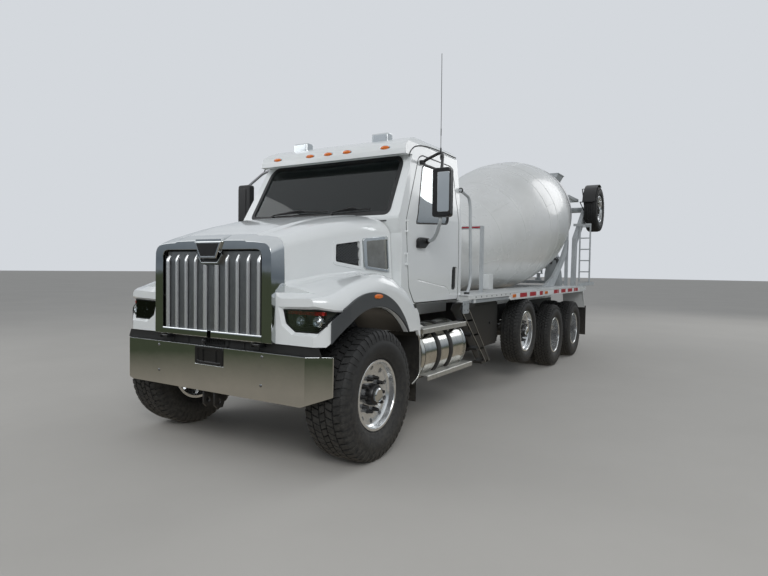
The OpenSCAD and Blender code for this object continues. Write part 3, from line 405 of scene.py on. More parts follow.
def dress(made, material, body, replaces=(), bevel=0.0, smooth=35, segments=2, name=None):
    """Rounds the edges by bevel millimetres, gives the finish and lets the piece ride on a body."""
    if bevel:
        edge = made.modifiers.new("edge", "BEVEL")
        edge.width, edge.segments, edge.limit_method = bevel / 1000, segments, "ANGLE"
        edge.angle_limit = math.radians(28)
        settle(made)
    made.data.shade_smooth()
    made.data.set_sharp_from_angle(angle=math.radians(smooth))
    if bevel:
        even = made.modifiers.new("even", "WEIGHTED_NORMAL")
        even.keep_sharp = True
        settle(made)
    if name:
        made.name = made.data.name = name
    made.data.materials.clear()
    made.data.materials.append(material)
    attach(made, body)
    if replaces:
        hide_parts(*replaces)
    return made


def piece(name, part, material, body, replaces=(), bevel=0.0, smooth=35, segments=2):
    return dress(raw_object(name, part), material, body, replaces, bevel, smooth, segments)


def for_side(side, body, replaces):
    """Body and replaced nodes of a left or right piece: SIDE in a name stands for the side, and a
    node without it goes with the left piece."""
    return body.replace("SIDE", side), [n.replace("SIDE", side) for n in replaces if "SIDE" in n or side == "left"]


def dress_pair(name, made, material, body, replaces=(), bevel=0.0, smooth=35, segments=2):
    """Dresses an object of the left side and its mirror copy."""
    for each, side in ((made, "left"), (flipped(made), "right")):
        body_of, nodes = for_side(side, body, replaces)
        dress(each, material, body_of, nodes, bevel, smooth, segments, name + "_" + side)


def pair(name, part, material, body, replaces=(), bevel=0.0, smooth=35, segments=2):
    """A piece on the left side and its mirror image on the right."""
    for side, sign in SIDES:
        body_of, nodes = for_side(side, body, replaces)
        piece(name + "_" + side, on_side(part, sign), material, body_of, nodes, bevel, smooth, segments)


def rounded(node, material, bevel, name=None, smooth=40, segments=2):
    """A copy of a node's mesh with its edges rounded, in place of the node."""
    mesh = NODES[node].data.copy()
    work = bmesh.new()
    work.from_mesh(mesh)
    bmesh.ops.remove_doubles(work, verts=work.verts, dist=0.00005)
    bmesh.ops.dissolve_limit(work, angle_limit=math.radians(1.0), verts=work.verts, edges=work.edges)
    work.to_mesh(mesh)
    work.free()
    name = name or node + "_rounded"
    made = bpy.data.objects.new(name, mesh)
    bpy.context.scene.collection.objects.link(made)
    return dress(made, material, BODIES[node], (node,), bevel, smooth, segments, name)


def eased(rows, at):
    """Smooth curve through table rows whose first column is the place."""
    rows = np.asarray(rows, float)
    x, v = rows[:, 0], rows[:, 1:]
    if at <= x[0] or at >= x[-1]:
        i, j = (0, 1) if at <= x[0] else (-2, -1)
        return v[i] + (v[j] - v[i]) * (at - x[i]) / (x[j] - x[i])
    slope = np.gradient(v, x, axis=0)
    k = int(np.searchsorted(x, at)) - 1
    h = x[k + 1] - x[k]
    t = (at - x[k]) / h
    return ((2 * t ** 3 - 3 * t ** 2 + 1) * v[k] + (t ** 3 - 2 * t ** 2 + t) * h * slope[k]
            + (3 * t ** 2 - 2 * t ** 3) * v[k + 1] + (t ** 3 - t ** 2) * h * slope[k + 1])


# Materials on the solids that stay

ON_NODES = {
    cast_iron: "engine front_suspension knuckle_left knuckle_right tie_rod rear_axles drum_gearbox",
    chassis_black: "frame_rails rear_suspension radiator flaps_and_boxes",
    cab_trim: "cab_interior",
    shield_glass: "cab_glass",
    door_pane_glass: "door_glass_left door_glass_right",
    amber_lens: "roof_lights",
    tank_alloy: "fuel_tanks",
    tread_alloy: "tank_steps",
    machine_enamel: "trail_arms pedestals hoppers ladder_and_rails chute_post main_chute fold_chute",
    bare_steel: "roller_left roller_right",
    drum_enamel: "drum",
    chrome: "bumper grille",
    flare_plastic: "arch_flares mirror_left mirror_right",
    cab_enamel: "cab_shell hood_shell door_left door_right",
    deck_enamel: "deck",
    black_plastic: "headlamps",
    wheel_alloy: " ".join(n for n in NODES if "_rim" in n),
    tyre_rubber: " ".join(n for n in NODES if "_tyre" in n),
}
for material, names in ON_NODES.items():
    for n in names.split():
        for place_of in NODES[n].material_slots:
            place_of.material = material


# Tyres: bead to bead carcass with a block tread

BEAD = 286.3  # radius of a 22.5 inch rim's seat


def round_wheel(x, y, z, radius, k, count, shift=0.0):
    """Place k of count on a circle about a wheel's middle."""
    turn = 2 * math.pi * (k + shift) / count
    return Vector((x, y + radius * math.cos(turn), z + radius * math.sin(turn)))


def tyre_part(x, y, z, radius, width, rim_half, blocks, rows, groove=16.0, steps=96):
    """Carcass below the grooves with its sidewall rings, and rows of tread blocks with shoulder
    lugs; rows are (centre, half width, shift, slant, share)."""
    h = radius - BEAD
    # sidewall as shares of the height over the bead and of the width
    wall = ((0.22, 0.466), (0.24, 0.476), (0.28, 0.478), (0.30, 0.484), (0.45, 0.499), (0.58, 0.498), (0.60, 0.489),
            (0.72, 0.476), (0.82, 0.455), (0.90, 0.425))
    half = [(BEAD, rim_half - 0.3), (BEAD + 14, rim_half - 0.3), (BEAD + 26, 0.43 * width)]
    half += [(BEAD + up * h, out * width) for up, out in wall] + [(radius - groove, 0.385 * width)]
    ring_line = half + [(r, -a) for r, a in reversed(half)]
    parts = [revolve(ring_line, (x, y, z), (1, 0, 0), steps)]
    for centre, half_w, shift, slant, share in rows:
        for k in range(blocks):
            start = 2 * math.pi * (k + shift) / blocks
            size = 2 * math.pi / blocks * share
            verts = []
            for r in (radius - groove - 2, radius):
                grow = 1.0 if r < radius else 0.93
                for side, t in ((-1, 0), (1, 0), (1, 1), (-1, 1)):
                    a = centre * width + side * half_w * width * grow
                    rr = r - (9.0 if abs(a) > 0.36 * width and r == radius else 0.0)
                    turn = start + size * (0.5 + (t - 0.5) * grow) + slant * side * size
                    verts.append((x + a, y + rr * math.cos(turn), z + rr * math.sin(turn)))
            parts.append((verts, brick((0, 0, 0), (1, 1, 1))[1]))
    # shoulder lugs run down the sidewall below each outer block
    for sign in (-1, 1):
        for k in range(blocks):
            size = 2 * math.pi / blocks * (0.62 if k % 2 else 0.46)
            start = 2 * math.pi * k / blocks
            verts = []
            for r, a, out in ((radius - 11, 0.40, 3), (BEAD + 0.90 * h, 0.425, 7), (BEAD + 0.80 * h, 0.46, 7),
                              (BEAD + 0.66 * h, 0.486, 1)):
                for turn in (start, start + size):
                    for d in (-12, out):
                        w = min(a * width + d, 0.4995 * width)
                        verts.append((x + sign * w, y + r * math.cos(turn), z + r * math.sin(turn)))
            faces = [(0, 1, 3, 2), (12, 14, 15, 13)]
            for b in (0, 4, 8):
                faces += [(b, b + 4, b + 5, b + 1), (b + 2, b + 3, b + 7, b + 6), (b + 1, b + 5, b + 7, b + 3),
                          (b, b + 2, b + 6, b + 4)]
            parts.append((verts, faces))
    return join(parts)


# tread rows: centre and half width as shares of the width, shift and slant of a block, share it fills
ROAD_ROWS = [(-0.325, 0.072, 0.0, 0.12, 0.80), (-0.155, 0.076, 0.5, 0.18, 0.86), (0.0, 0.060, 0.0, -0.18, 0.86),
             (0.155, 0.076, 0.5, 0.18, 0.86), (0.325, 0.072, 0.0, -0.12, 0.80)]
FRONT_X, REAR_X, TWIN = 1082.0, 1103.0, 343.0  # middles of the front and outer rear wheels, twin spacing


# Forged wheels: lip, bowl, disc with hand holes, nut covers and a hub with its cap

def single_wheel(name, body, node, x, y, z, half, sign):
    """Profiles run outward from the rim's middle; the disc sits inside the outer lip."""
    line = [(286, -half + 0.3), (298, -half + 0.3), (298, -half - 12), (274, -half - 12), (272, half - 96),
            (94, half - 84), (94, half - 60), (196, half - 64), (222, half - 54), (252, half - 50),
            (266, half - 38), (271, half - 10), (272, half + 6), (276, half + 12), (294, half + 12),
            (298, half + 8), (298, half - 0.3), (286, half - 0.3), (283, half - 14), (283, -half + 14)]
    out = (sign, 0, 0)
    rim = raw_object(name, revolve(line, (x, y, z), out, 96))
    holes = []
    for k in range(10):
        at = round_wheel(x, y, z, 224, k, 10, 0.5)
        holes.append(rod(at - Vector(out) * (100 - half), at + Vector(out) * (half + 60), 21, 20))
    carve(rim, cut(join(holes)))
    hub = [revolve([(0.5, half - 160), (93, half - 160), (93, half - 52),
                    (88, half - 8), (80, half + 2), (66, half + 6), (0.5, half + 6)], (x, y, z), out, 40)]
    nuts = []
    for k in range(10):
        foot = round_wheel(x, y, z, 140, k, 10)
        nuts.append(moved(revolve([(0.5, half - 64), (24, half - 64), (21, half - 56), (18, half - 52),
                                   (15, half - 18), (11, half - 10), (0.5, half - 8)], (0, 0, 0), out, 12),
                          Matrix.Translation(foot)))
    cap = revolve([(0.5, half + 4), (62, half + 4), (60, half + 20), (50, half + 27), (42, half + 24),
                   (0.5, half + 24)], (x, y, z), out, 40)
    dress(rim, wheel_alloy, body, [node], 1.6, 40, 2)
    piece(name + "_hub_and_nuts", join(hub + nuts), black_plastic, body)
    piece(name + "_cap", cap, chrome, body)


def twin_wheel(name, body, node, y, z, sign):
    """Outer rim seen as a deep polished bowl, disc bolted to the inner rim, slim hub in the middle."""
    half = 105
    out = (sign, 0, 0)
    x = sign * REAR_X

    def barrel(at):
        return revolve([(286, at - half + 0.3), (298, at - half + 0.3), (298, at - half - 12),
                        (272, at - half - 12), (270, at + half + 4), (276, at + half + 12), (294, at + half + 12),
                        (298, at + half + 8), (298, at + half - 0.3), (286, at + half - 0.3), (283, at + half - 14),
                        (283, at - half + 14)], (x, y, z), out, 96)

    disc = raw_object(name + "_disc", revolve([(52, -190), (286, -190), (286, -150), (268, -140), (236, -142),
                                               (205, -150), (130, -152), (52, -152)], (x, y, z), out, 96))
    holes = []
    for k in range(10):
        at = round_wheel(x, y, z, 222, k, 10, 0.5)
        holes.append(rod(at - Vector(out) * 230, at - Vector(out) * 110, 21, 20))
    carve(disc, cut(join(holes)))
    rims = raw_object(name, join([barrel(0), barrel(-TWIN)]))
    dress(rims, wheel_alloy, body, [node], 1.6, 40, 2)
    dress(disc, wheel_alloy, body, (), 2.0, 40, 2)
    drum = revolve(rect(52, -TWIN - 128, 203, -192), (x, y, z), out, 64)
    piece(name + "_brake_drum", drum, cast_iron, body, bevel=3)
    hub = [revolve([(0.5, -190), (118, -190), (118, -146), (98, -140), (92, -60), (72, -50), (70, 14), (58, 22),
                    (0.5, 22)], (x, y, z), out, 40)]
    for k in range(10):
        foot = round_wheel(x, y, z, 150, k, 10)
        hub.append(moved(revolve([(0.5, -154), (24, -154), (20, -146), (17, -142), (15, -112), (10, -106),
                                  (0.5, -105)], (0, 0, 0), out, 12), Matrix.Translation(foot)))
        bolt = round_wheel(x, y, z, 44, k, 10) + Vector(out) * 20
        hub.append(rod(bolt, bolt + Vector(out) * 10, 8, 8))
    piece(name + "_hub_and_nuts", join(hub), black_plastic, body)
    piece(name + "_axle_plate", revolve([(0.5, 21), (34, 21), (34, 30), (0.5, 34)], (x, y, z), out, 32), bare_steel,
          body)


# axle, place and radius, tyre width, half the rim's width, tread blocks, groove
SINGLES = (("front", FRONT_X, 0, 550, 550, 412, 156, 52, 18), ("lift", REAR_X, 4150, 722, 470, 275, 105, 56, 14),
           ("trail", REAR_X, 9380, 3000, 498, 275, 105, 58, 14))
for side, sign in SIDES:
    for axle, x, y, z, radius, width, half, blocks, groove in SINGLES:
        body = axle + "_wheel_" + side
        piece(axle + "_tyre_tread_" + side, tyre_part(sign * x, y, z, radius, width, half, blocks, ROAD_ROWS,
                                                      groove), tyre_rubber, body, [axle + "_tyre_" + side])
        single_wheel(axle + "_wheel_forging_" + side, body, axle + "_rim_" + side, sign * x, y, z, half, sign)
    for k, y in (("drive1", 5760), ("drive2", 7132)):
        twins = join([tyre_part(sign * (REAR_X - d), y, 518, 518, 275, 105, 60, ROAD_ROWS, 20) for d in (0, TWIN)])
        piece(k + "_tyre_treads_" + side, twins, tyre_rubber, k + "_wheels_" + side, [k + "_tyres_" + side])
        twin_wheel(k + "_wheel_forgings_" + side, k + "_wheels_" + side, k + "_rims_" + side, y, 518, sign)


# Hood: one panel over the engine with its fenders

# hood: y, share of the widening, share of the rise, height of the crown over the shoulder, shoulder radius
HOOD_ROWS = [[-700, -0.07, -0.08, 26, 88], [-650, 0, 0, 27, 90], [-560, 0.06, 0.12, 28, 95],
             [-400, 0.20, 0.285, 30, 105], [-200, 0.34, 0.485, 33, 115], [0, 0.47, 0.65, 38, 125],
             [250, 0.63, 0.815, 42, 135], [500, 0.81, 0.925, 46, 140], [760, 1, 1, 48, 140]]
# fender: y, height of the valley beside the hood, height of the outer ridge
FENDER_ROWS = [[-650, 1364, 1368], [-625, 1392, 1373], [-600, 1420, 1378], [-560, 1450, 1388], [-480, 1472, 1409],
               [-400, 1485, 1436], [-306, 1501, 1468], [-130, 1530, 1517], [0, 1540, 1545], [129, 1549, 1559],
               [250, 1560, 1541], [342, 1553, 1519], [450, 1544, 1472], [551, 1530, 1424], [676, 1490, 1314],
               [780, 1455, 1184]]
# how far the fender's outer side is drawn in: y, distance
PLAN_ROWS = [[-650, 157], [-625, 120], [-600, 92], [-560, 52], [-480, 20], [-400, 0], [780, 0]]


def fender_plan(e):
    """Left fender seen from above, moved out by e."""
    return [(560, -650 - e), (1075 + 0.3 * e, -650 - e), (1135 + 0.7 * e, -600 - 0.7 * e),
            (1180 + 0.85 * e, -560 - 0.5 * e), (1212 + 0.95 * e, -480 - 0.3 * e), (1232 + e, -400 - 0.1 * e),
            (1232 + e, 780), (560, 780)]


def hood_width(y):
    """Half width, height, crown, shoulder radius and flare of the foot at a place along the hood."""
    widen, rise, lift, turn = eased(HOOD_ROWS, y)
    return 700 + 193 * widen, 1836 + 302 * rise, lift, turn, 8 + 32 * widen


def hood_half(y, e=0.0, foot=1005):
    """Half section of the middle of the hood: side, shoulder arc, crown with its raised middle."""
    w, t, lift, q, flare = hood_width(y)
    w, t = w - e, t - e
    s = t - lift
    line = [(w + flare, foot), (w + flare - 2, 1400), (w + flare * 0.7, 1540)]
    line += [(w - q + q * math.cos(a), s - q + q * math.sin(a)) for a in np.radians(np.arange(0, 81, 10))]
    edge = w - q + q * math.cos(math.radians(80))
    top = s - q + q * math.sin(math.radians(80))
    ridge = 0.60 * w
    for k in range(1, 6):
        f = k / 5
        line.append((edge + (ridge + 14 - edge) * f, top + (t - 14 - top) * (1 - (1 - f) ** 2)))
    line += [(ridge - 8, t - 5), (ridge - 34, t - 2), (ridge * 0.5, t), (0, t + 1)]
    return line


def hood_body(y_from, y_to, e=0.0, step=25, foot=1005):
    """The hood's middle as a solid, moved in by e."""
    rings = []
    for y in np.linspace(y_from, y_to, int(abs(y_to - y_from) / step) + 2):
        half = hood_half(y, e, foot)
        rings.append([(x, y, z) for x, z in half] + [(-x, y, z) for x, z in half[-2::-1]])
    return loft(rings)


def fender_body(step=22):
    """Fender from the hood's side out: valley, S-shaped top, quarter round shoulder, outer side."""
    rings = []
    for y in np.linspace(-650, 780, int(1430 / step) + 1):
        valley, ridge = eased(FENDER_ROWS, y)
        out = 1232 - float(np.interp(y, [r[0] for r in PLAN_ROWS], [r[1] for r in PLAN_ROWS]))
        start = hood_width(y)[0] - 60
        base = 1005 if y < 0 else 1030
        line = [(start, base), (start, valley + 60), (start + 62, valley + 42), (start + 84, valley + 8),
                (start + 118, valley - 4)]
        at = [-650, -600, -480, -380]
        round_w, round_h = np.interp(y, at, [36, 48, 84, 102]), np.interp(y, at, [44, 60, 112, 140])
        inner, end = start + 118, out - round_w
        for k in range(1, 9):
            f = k / 8
            line.append((inner + (end - inner) * f, valley - 4 + (ridge - valley + 4) * f * f * (3 - 2 * f)))
        line += [(end + round_w * math.sin(a), ridge - round_h + round_h * math.cos(a))
                 for a in np.radians(np.arange(10, 91, 10))]
        line.append((out, base))
        rings.append([(x, y, z) for x, z in line])
    return loft(rings)


LAMP_EDGE = [(754, 1277), (1094, 1288), (1222, 1262), (1091, 1106), (876, 1103), (783, 1165)]
VENT_EDGE = [(1, 1807), (-7, 1659), (320, 1619), (315, 1849)]
PANEL_EDGE = [(356, 1874), (362, 1602), (700, 1571), (700, 1911)]
CAB_SIDE = [(765, 1250), (765, 1950), (700, 2085), (700, 2110), (1068, 2755), (1100, 2840), (1180, 2905),
            (1320, 2960), (1480, 2995), (1850, 2995), (2010, 2960), (2075, 2900), (2110, 2800), (2110, 1250)]


def grown(outline, e):
    """Outline moved out by e along its corners' bisectors, whichever way round it runs."""
    n = len(outline)
    area = sum(x0 * y1 - x1 * y0 for (x0, y0), (x1, y1) in zip(outline, outline[1:] + outline[:1]))
    sign = 1 if area > 0 else -1
    made = []
    for i in range(n):
        p, q, r = (Vector(outline[k % n]) for k in (i - 1, i, i + 1))
        a, b = (q - p).normalized(), (r - q).normalized()
        na, nb = Vector((a.y, -a.x)) * sign, Vector((b.y, -b.x)) * sign
        m = na + nb
        made.append(tuple(q + m * (e / max(0.35, m.dot(na)))))
    return made


def tapered(outline, axis, start, end, e):
    """Prism whose far end is grown by e: a bevelled recess cutter."""
    near, far = prism(outline, axis, start, end), prism(grown(outline, e), axis, start, end)
    n = len(outline)
    return near[0][:n] + far[0][n:], near[1]


ARCH_Y, ARCH_Z, ARCH_R = -20, 562, 720  # wheel arch
arch = both(rod((560, ARCH_Y, ARCH_Z), (1400, ARCH_Y, ARCH_Z), ARCH_R, 160))
hood = raw_object("hood_panels", hood_body(-650, 780))
fenders = carve(raw_object("fender_left_form", fender_body()), fuse(mirrored(fender_body())))
hollow = hood_body(-640, 800, 26, 60, 990)
surround_zone = brick((-1000, -700, 1405), (1000, -562, 2000))
opening = prism(soften(rect(-612, 980, 612, 1765), 60), "y", -720, -560)
PLAN_X = [0, 1075, 1107, 1140, 1180, 1212, 1232, 1250]
PLAN_Y = [-650, -650, -625, -600, -560, -480, -400, -370]


def plan_y(x):
    """How far ahead the fender's front lies at x."""
    return float(np.interp(x, PLAN_X, PLAN_Y))


def on_plan(outline, ahead, steps=6):
    """Front outline laid on the fender's plan, moved forward by that much; edges cut in steps."""
    ring = []
    for (x0, z0), (x1, z1) in zip(outline, outline[1:] + outline[:1]):
        for k in range(steps):
            x, z = x0 + (x1 - x0) * k / steps, z0 + (z1 - z0) * k / steps
            ring.append((x, plan_y(x) - ahead, z))
    return ring


def lamp_slab(outline, front, back):
    """Curved slab behind the fender's plan within a convex front outline."""
    low_x, high_x = min(p[0] for p in outline), max(p[0] for p in outline)
    rings = []
    for x in np.linspace(low_x + 0.5, high_x - 0.5, 40):
        crossings = [z0 + (z1 - z0) * (x - x0) / (x1 - x0)
                     for (x0, z0), (x1, z1) in zip(outline, outline[1:] + outline[:1]) if (x0 - x) * (x1 - x) < 0]
        y = plan_y(x)
        a, b = min(crossings), max(crossings)
        rings.append([(x, y + front, a), (x, y + front, b), (x, y + back, b), (x, y + back, a)])
    return loft(rings)


wide = [(min(x, 1230), z) for x, z in grown(LAMP_EDGE, 24)]
lamp_pocket = loft([[(x, -560 + (x - 754) * 0.45, z) for x, y, z in on_plan(LAMP_EDGE, 0)],
                    on_plan(LAMP_EDGE, -30), on_plan(wide, 6),
                    [(x, -800, z) for x, y, z in on_plan(wide, 0)]])
vents = both(tapered(VENT_EDGE, "x", 700, 1200, 14))
carve(hood, fuse(fenders), cut(hollow), cut(arch), cut(prism(grown(CAB_SIDE, 10), "x", -1400, 1400)),
      cut(surround_zone), cut(opening), cut(lamp_pocket), cut(mirrored(lamp_pocket)), cut(vents))
dress(hood, cab_enamel, "hood", ["hood_shell"], 5.0, 34, 3, "hood_panels")


# Headlamps: black housing, two projector lights, a marker strip and a clear cover

inner = grown(LAMP_EDGE, -1.5)
housing = carve(raw_object("housing", lamp_slab(inner, 30, 118)), cut(lamp_slab(grown(LAMP_EDGE, -9), 10, 84)))
dress_pair("lamp_housing", housing, black_plastic, "hood", ["headlamps"], 1.0)
bowls, rings, strips, ribs = [], [], [], []
for x, z in ((920, 1192), (1078, 1194)):
    y = plan_y(x) + 36
    bowls.append(revolve([(0.5, 44), (20, 44), (36, 24), (38, 4), (34, 0), (30, 8), (22, 12), (10, 0), (0.5, -3)],
                         (x, y, z), (0, 1, 0), 40))
    rings.append(revolve([(37, 46), (48, 46), (48, 6), (45, 2), (40, 2), (38, 6), (37, 20)], (x, y, z), (0, 1, 0),
                         40))
for k in range(9):
    x = 790 + 38 * k
    y = plan_y(x) + 44
    strips.append(brick((x, y, 1240), (x + 33, y + 40, 1268)))
for k in range(4):
    ribs.append(brick((828 + 20 * k, -600, 1122 + 14 * k), (1100 + 20 * k, -560, 1127 + 14 * k)))
piece("lamp_bowls", both(join(bowls)), white_lens, "hood", smooth=30)
piece("lamp_rings", both(join(rings)), chrome, "hood")
piece("lamp_marker_strips", both(join(strips)), red_lens, "hood", bevel=3)
piece("lamp_ribs", both(join(ribs)), black_plastic, "hood", bevel=1)
piece("lamp_covers", both(lamp_slab(grown(LAMP_EDGE, -8), 31, 34)), lamp_cover,
      "hood", smooth=60)


# Grille: chromed surround, slanted bars, diamond mesh, pod and bottom strips

surround = carve(raw_object("surround", hood_body(-690, -563, 0, 12, 1005)),
                 cut(prism(soften(rect(-592, 800, 592, 1742), 70), "y", -760, -500)),
                 cut(hood_body(-664, -500, 24, 20, 700)), cut(brick((-900, -652, 900), (900, -400, 1406))))
dress(surround, chrome, "hood", ["grille"], 13.0, 40, 4, "grille_surround")
lining = carve(raw_object("lining", prism(soften(rect(-598, 990, 598, 1752), 70), "y", -664, -560)),
               cut(prism(soften(rect(-588, 1000, 588, 1738), 66), "y", -700, -610)))
dress(lining, black_plastic, "hood", (), 1.0, name="grille_back_frame")

bars = []
for x, w, foot, head, back in [(s * c, w, 1058, top, b) for s in (-1, 1) for c, w, top, b in (
        (69, 17, 1612, 0), (188, 11, 1722, 1), (308, 11, 1722, 1), (428, 11, 1722, 1), (545, 15, 1716, 1))]:
    lines = []
    for z, y in (((foot, -683), (head, -683)) if not back else ((foot, -683), (1630, -683), (1660, -679),
                                                                (head - 10, -650), (head, -640))):
        nose = w * (0.35 if z > 1690 else 0.62)
        lines.append([(x - w, y + 22, z), (x - w, y + 8, z), (x - nose, y, z), (x + nose, y, z), (x + w, y + 8, z),
                      (x + w, y + 22, z)])
    bars.append(loft(lines))
piece("grille_bars", join(bars), bar_chrome, "hood", bevel=2.0)

# wires run corner to corner through cells and end at the field's edges
mesh_wires, cell_x, cell_z = [], 17.5, 10.0
low, high, reach = 1056, 1726, 562
rows = int((high - low) / cell_z)
for k in range(-rows, int(2 * reach / cell_x) + 1):
    for lean in (1, -1):
        x0 = lean * (k * cell_x - reach)
        t0, t1 = max(0, -k), min(rows, 2 * reach / cell_x - k)
        if t1 - t0 < 0.5:
            continue
        a, b = (Vector((x0 + lean * t * cell_x, low + t * cell_z)) for t in (t0, t1))
        d = (b - a).normalized()
        n = Vector((-d.y, d.x)) * 3.3
        y = -655 if lean > 0 else -652
        mesh_wires.append(loft([[(p.x + n.x, y, p.y + n.y), (p.x - n.x, y, p.y - n.y), (p.x, y + 5, p.y)]
                                for p in (a, b)]))
piece("grille_mesh", join(mesh_wires), mesh_zinc, "hood", smooth=20)

strips = []
for sign in (-1, 1):
    ends = sorted((sign * 22, sign * 592))
    strips.append(prism([(-640, 1004), (-690, 1004), (-693, 1010), (-693, 1050), (-688, 1062), (-640, 1062)], "x",
                        ends[0], ends[1]))
piece("grille_bottom_strips", join(strips), chrome, "hood", bevel=2.5)
cheeks = [brick((568, -676, 1062), (574, -640, 1690)), brick((576, -670, 1330), (590, -660, 1346))]
piece("grille_side_edges", both(join(cheeks)), black_plastic, "hood", bevel=1)

lip = loft([[(x - 7 if x < 0 else x + 7, y, z) for x, z in ((-150, 1700), (-92, 1622), (92, 1622), (150, 1700),
                                                             (136, 1700), (86, 1636), (-86, 1636), (-136, 1700))]
            for y in (-690, -655)])
piece("grille_pod_lip", lip, chrome, "hood", bevel=3)
notch = prism([(-140, 1705), (-88, 1634), (88, 1634), (140, 1705)], "y", -672, -650)
piece("grille_pod_gap", notch, black_plastic, "hood")
# pod: trapezoid face standing off the surround, its wedge runs back over the crown
face = [(-162, 1806), (162, 1806), (98, 1668), (-98, 1668)]
pod = [[(x, -711, z) for x, z in grown(face, -5)], [(x, -704, z) for x, z in face]]
pod.append([(x * 1.02, -664, z) for x, z in ((-162, 1836), (162, 1836), (104, 1664), (-104, 1664))])
pod_part = loft(pod)
wedge = loft([[(-162, y, t - 24), (162, y, t - 24), (150, y, t + rise), (-150, y, t + rise)]
              for (y, t), rise in (((-700, 1826), 3), ((-664, 1836), 10), ((-560, 1862), 9))])
pod_made = carve(raw_object("pod", pod_part), fuse(wedge), cut(prism([(-138, 1794), (138, 1794), (86, 1684),
                                                                      (-86, 1684)], "y", -720, -707)))
dress(pod_made, chrome, "hood", (), 3.0, name="grille_pod")
piece("grille_pod_inset", prism([(-136, 1792), (136, 1792), (85, 1686), (-85, 1686)], "y", -708.5, -704),
      black_plastic, "hood", bevel=1)


# Cab: shell, doors, glass with its rubber, brow, lamps, wipers

CAB_SIDE_ROUND = [(765, 1250), (765, 1950), (700, 2085), (700, 2110), (1068, 2760), (1110, 2860), (1200, 2945),
                  (1330, 2995), (1480, 3018), (1880, 3018), (2080, 2996), (2160, 2950), (2190, 2870), (2190, 1250)]
CAB_FACE = [(1020, 1250), (1020, 2150), (955, 2790), (945, 2885), (912, 2948), (840, 2992), (720, 3019)]
DOOR_EDGE = [(1035, 1262), (2100, 1262), (2115, 1700), (2105, 2150), (2050, 2660), (2010, 2780), (1280, 2780),
             (1200, 2742), (868, 2130), (852, 2060), (878, 1840), (922, 1420)]
PANE_EDGE = [(1048, 2052), (1790, 2100), (1832, 2150), (1890, 2630), (1858, 2705), (1330, 2705), (1262, 2665)]
SHIELD_EDGE = [(-900, 26), (900, 26), (876, 650), (820, 728), (-820, 728), (-876, 650)]
SHIELD_LEAN = 29.5  # degrees back from upright
LEAN = Matrix.Translation((0, 700, 2110)) @ Matrix.Rotation(-math.radians(SHIELD_LEAN), 4, "X")

# plainer outlines for the inside, whose short edges would cross when moved in
INNER_SIDE = [(765, 1250), (765, 1975), (702, 2104), (1085, 2790), (1150, 2895), (1330, 2985), (1480, 3010),
              (1880, 3010), (2110, 2960), (2190, 2850), (2190, 1250)]
INNER_FACE = [(1020, 1250), (1020, 2150), (955, 2790), (925, 2905), (830, 2980), (690, 3012)]


def cab_solid(inset, soft):
    """The cab's outer form moved in by the inset."""
    side, front = (CAB_SIDE_ROUND, CAB_FACE) if inset < 12 else (INNER_SIDE, INNER_FACE)
    face = grown(front + [(-x, z) for x, z in reversed(front)], -inset)
    made = carve(raw_object("cab_solid", prism(grown(side, -inset), "x", -1100, 1100)),
                 cross(prism(face, "y", 600, 2300)))
    return softened(made, soft, 4) if soft else made


def on_shield(outline, start, end):
    """Prism of an outline in the windshield's plane, from ahead of it (minus) to behind it."""
    return moved(prism(outline, "y", start, end), LEAN)


door_hole, pane_hole = soften(grown(DOOR_EDGE, 10), 42), soften(PANE_EDGE, 34)
shield_hole = on_shield(soften(SHIELD_EDGE, 60), -90, 160)
rear_hole = prism(soften(rect(-440, 2380, 440, 2650), 50), "y", 2080, 2300)
brow = prism([(1080, 2760), (1000, 2742), (928, 2746), (930, 2800), (958, 2856), (1030, 2905), (1150, 2952),
              (1330, 2995), (1345, 2965), (1212, 2915), (1140, 2850), (1110, 2775)], "x", -1100, 1100)
brow = softened(carve(raw_object("brow", brow), cross(prism(CAB_FACE + [(-x, z) for x, z in reversed(CAB_FACE)],
                                                            "y", 600, 2300))), 14, 3)
shell = cab_solid(0, 26)
left_skin = twin(shell)
inside = cab_solid(48, 0)
inside_door = twin(inside)
pins, lugs = [], []
for z in (1700, 2020):
    pins.append(rod((1038, 848, z - 60), (1038, 848, z + 60), 7, 16))
    for h in (z - 60, z + 42):
        pins.append(rod((1038, 848, h), (1038, 848, h + 18), 12, 20))
        lugs.append(brick((1000, 838, h), (1036, 858, h + 18)))
carve(shell, fuse(brow), cut(inside), cut(shield_hole), cut(rear_hole),
      cut(join([prism(door_hole, "x", 815, 1100), prism(door_hole, "x", -1100, -815)])))
dress(shell, cab_enamel, "truck", ["cab_shell"], 2.5, 34, 2, "cab_panels")
piece("door_hinge_pins", both(join(pins + lugs)), cab_enamel, "truck", bevel=1)
# dark lining of the cab and of the doors
lining_of = carve(cab_solid(48.6, 0), cut(cab_solid(56, 0)), cut(on_shield(soften(SHIELD_EDGE, 60), -120, 200)),
                  cut(prism(soften(rect(-440, 2380, 440, 2650), 50), "y", 2000, 2300)),
                  cut(join([prism(door_hole, "x", 815, 1100), prism(door_hole, "x", -1100, -815)])))
dress(lining_of, cab_trim, "truck", (), 0, name="cab_lining")
card = carve(raw_object("card", prism(soften(grown(DOOR_EDGE, -14), 30), "x", 815, 1100)),
             cross(cab_solid(48.4, 0)), cut(cab_solid(56, 0)), cut(prism(grown(PANE_EDGE, 12), "x", 700, 1200)))
dress_pair("door_card", card, cab_trim, "SIDE_door")

# door skins share the cab's outer form
door = carve(left_skin, cross(prism(soften(grown(DOOR_EDGE, -4), 30), "x", 815, 1100)), cut(inside_door),
             cut(prism(pane_hole, "x", 700, 1200)), cut(prism(soften([(1928, 1372), (2066, 1372), (2080, 1636),
                                                                      (1946, 1636)], 34), "x", 1000, 1100)))
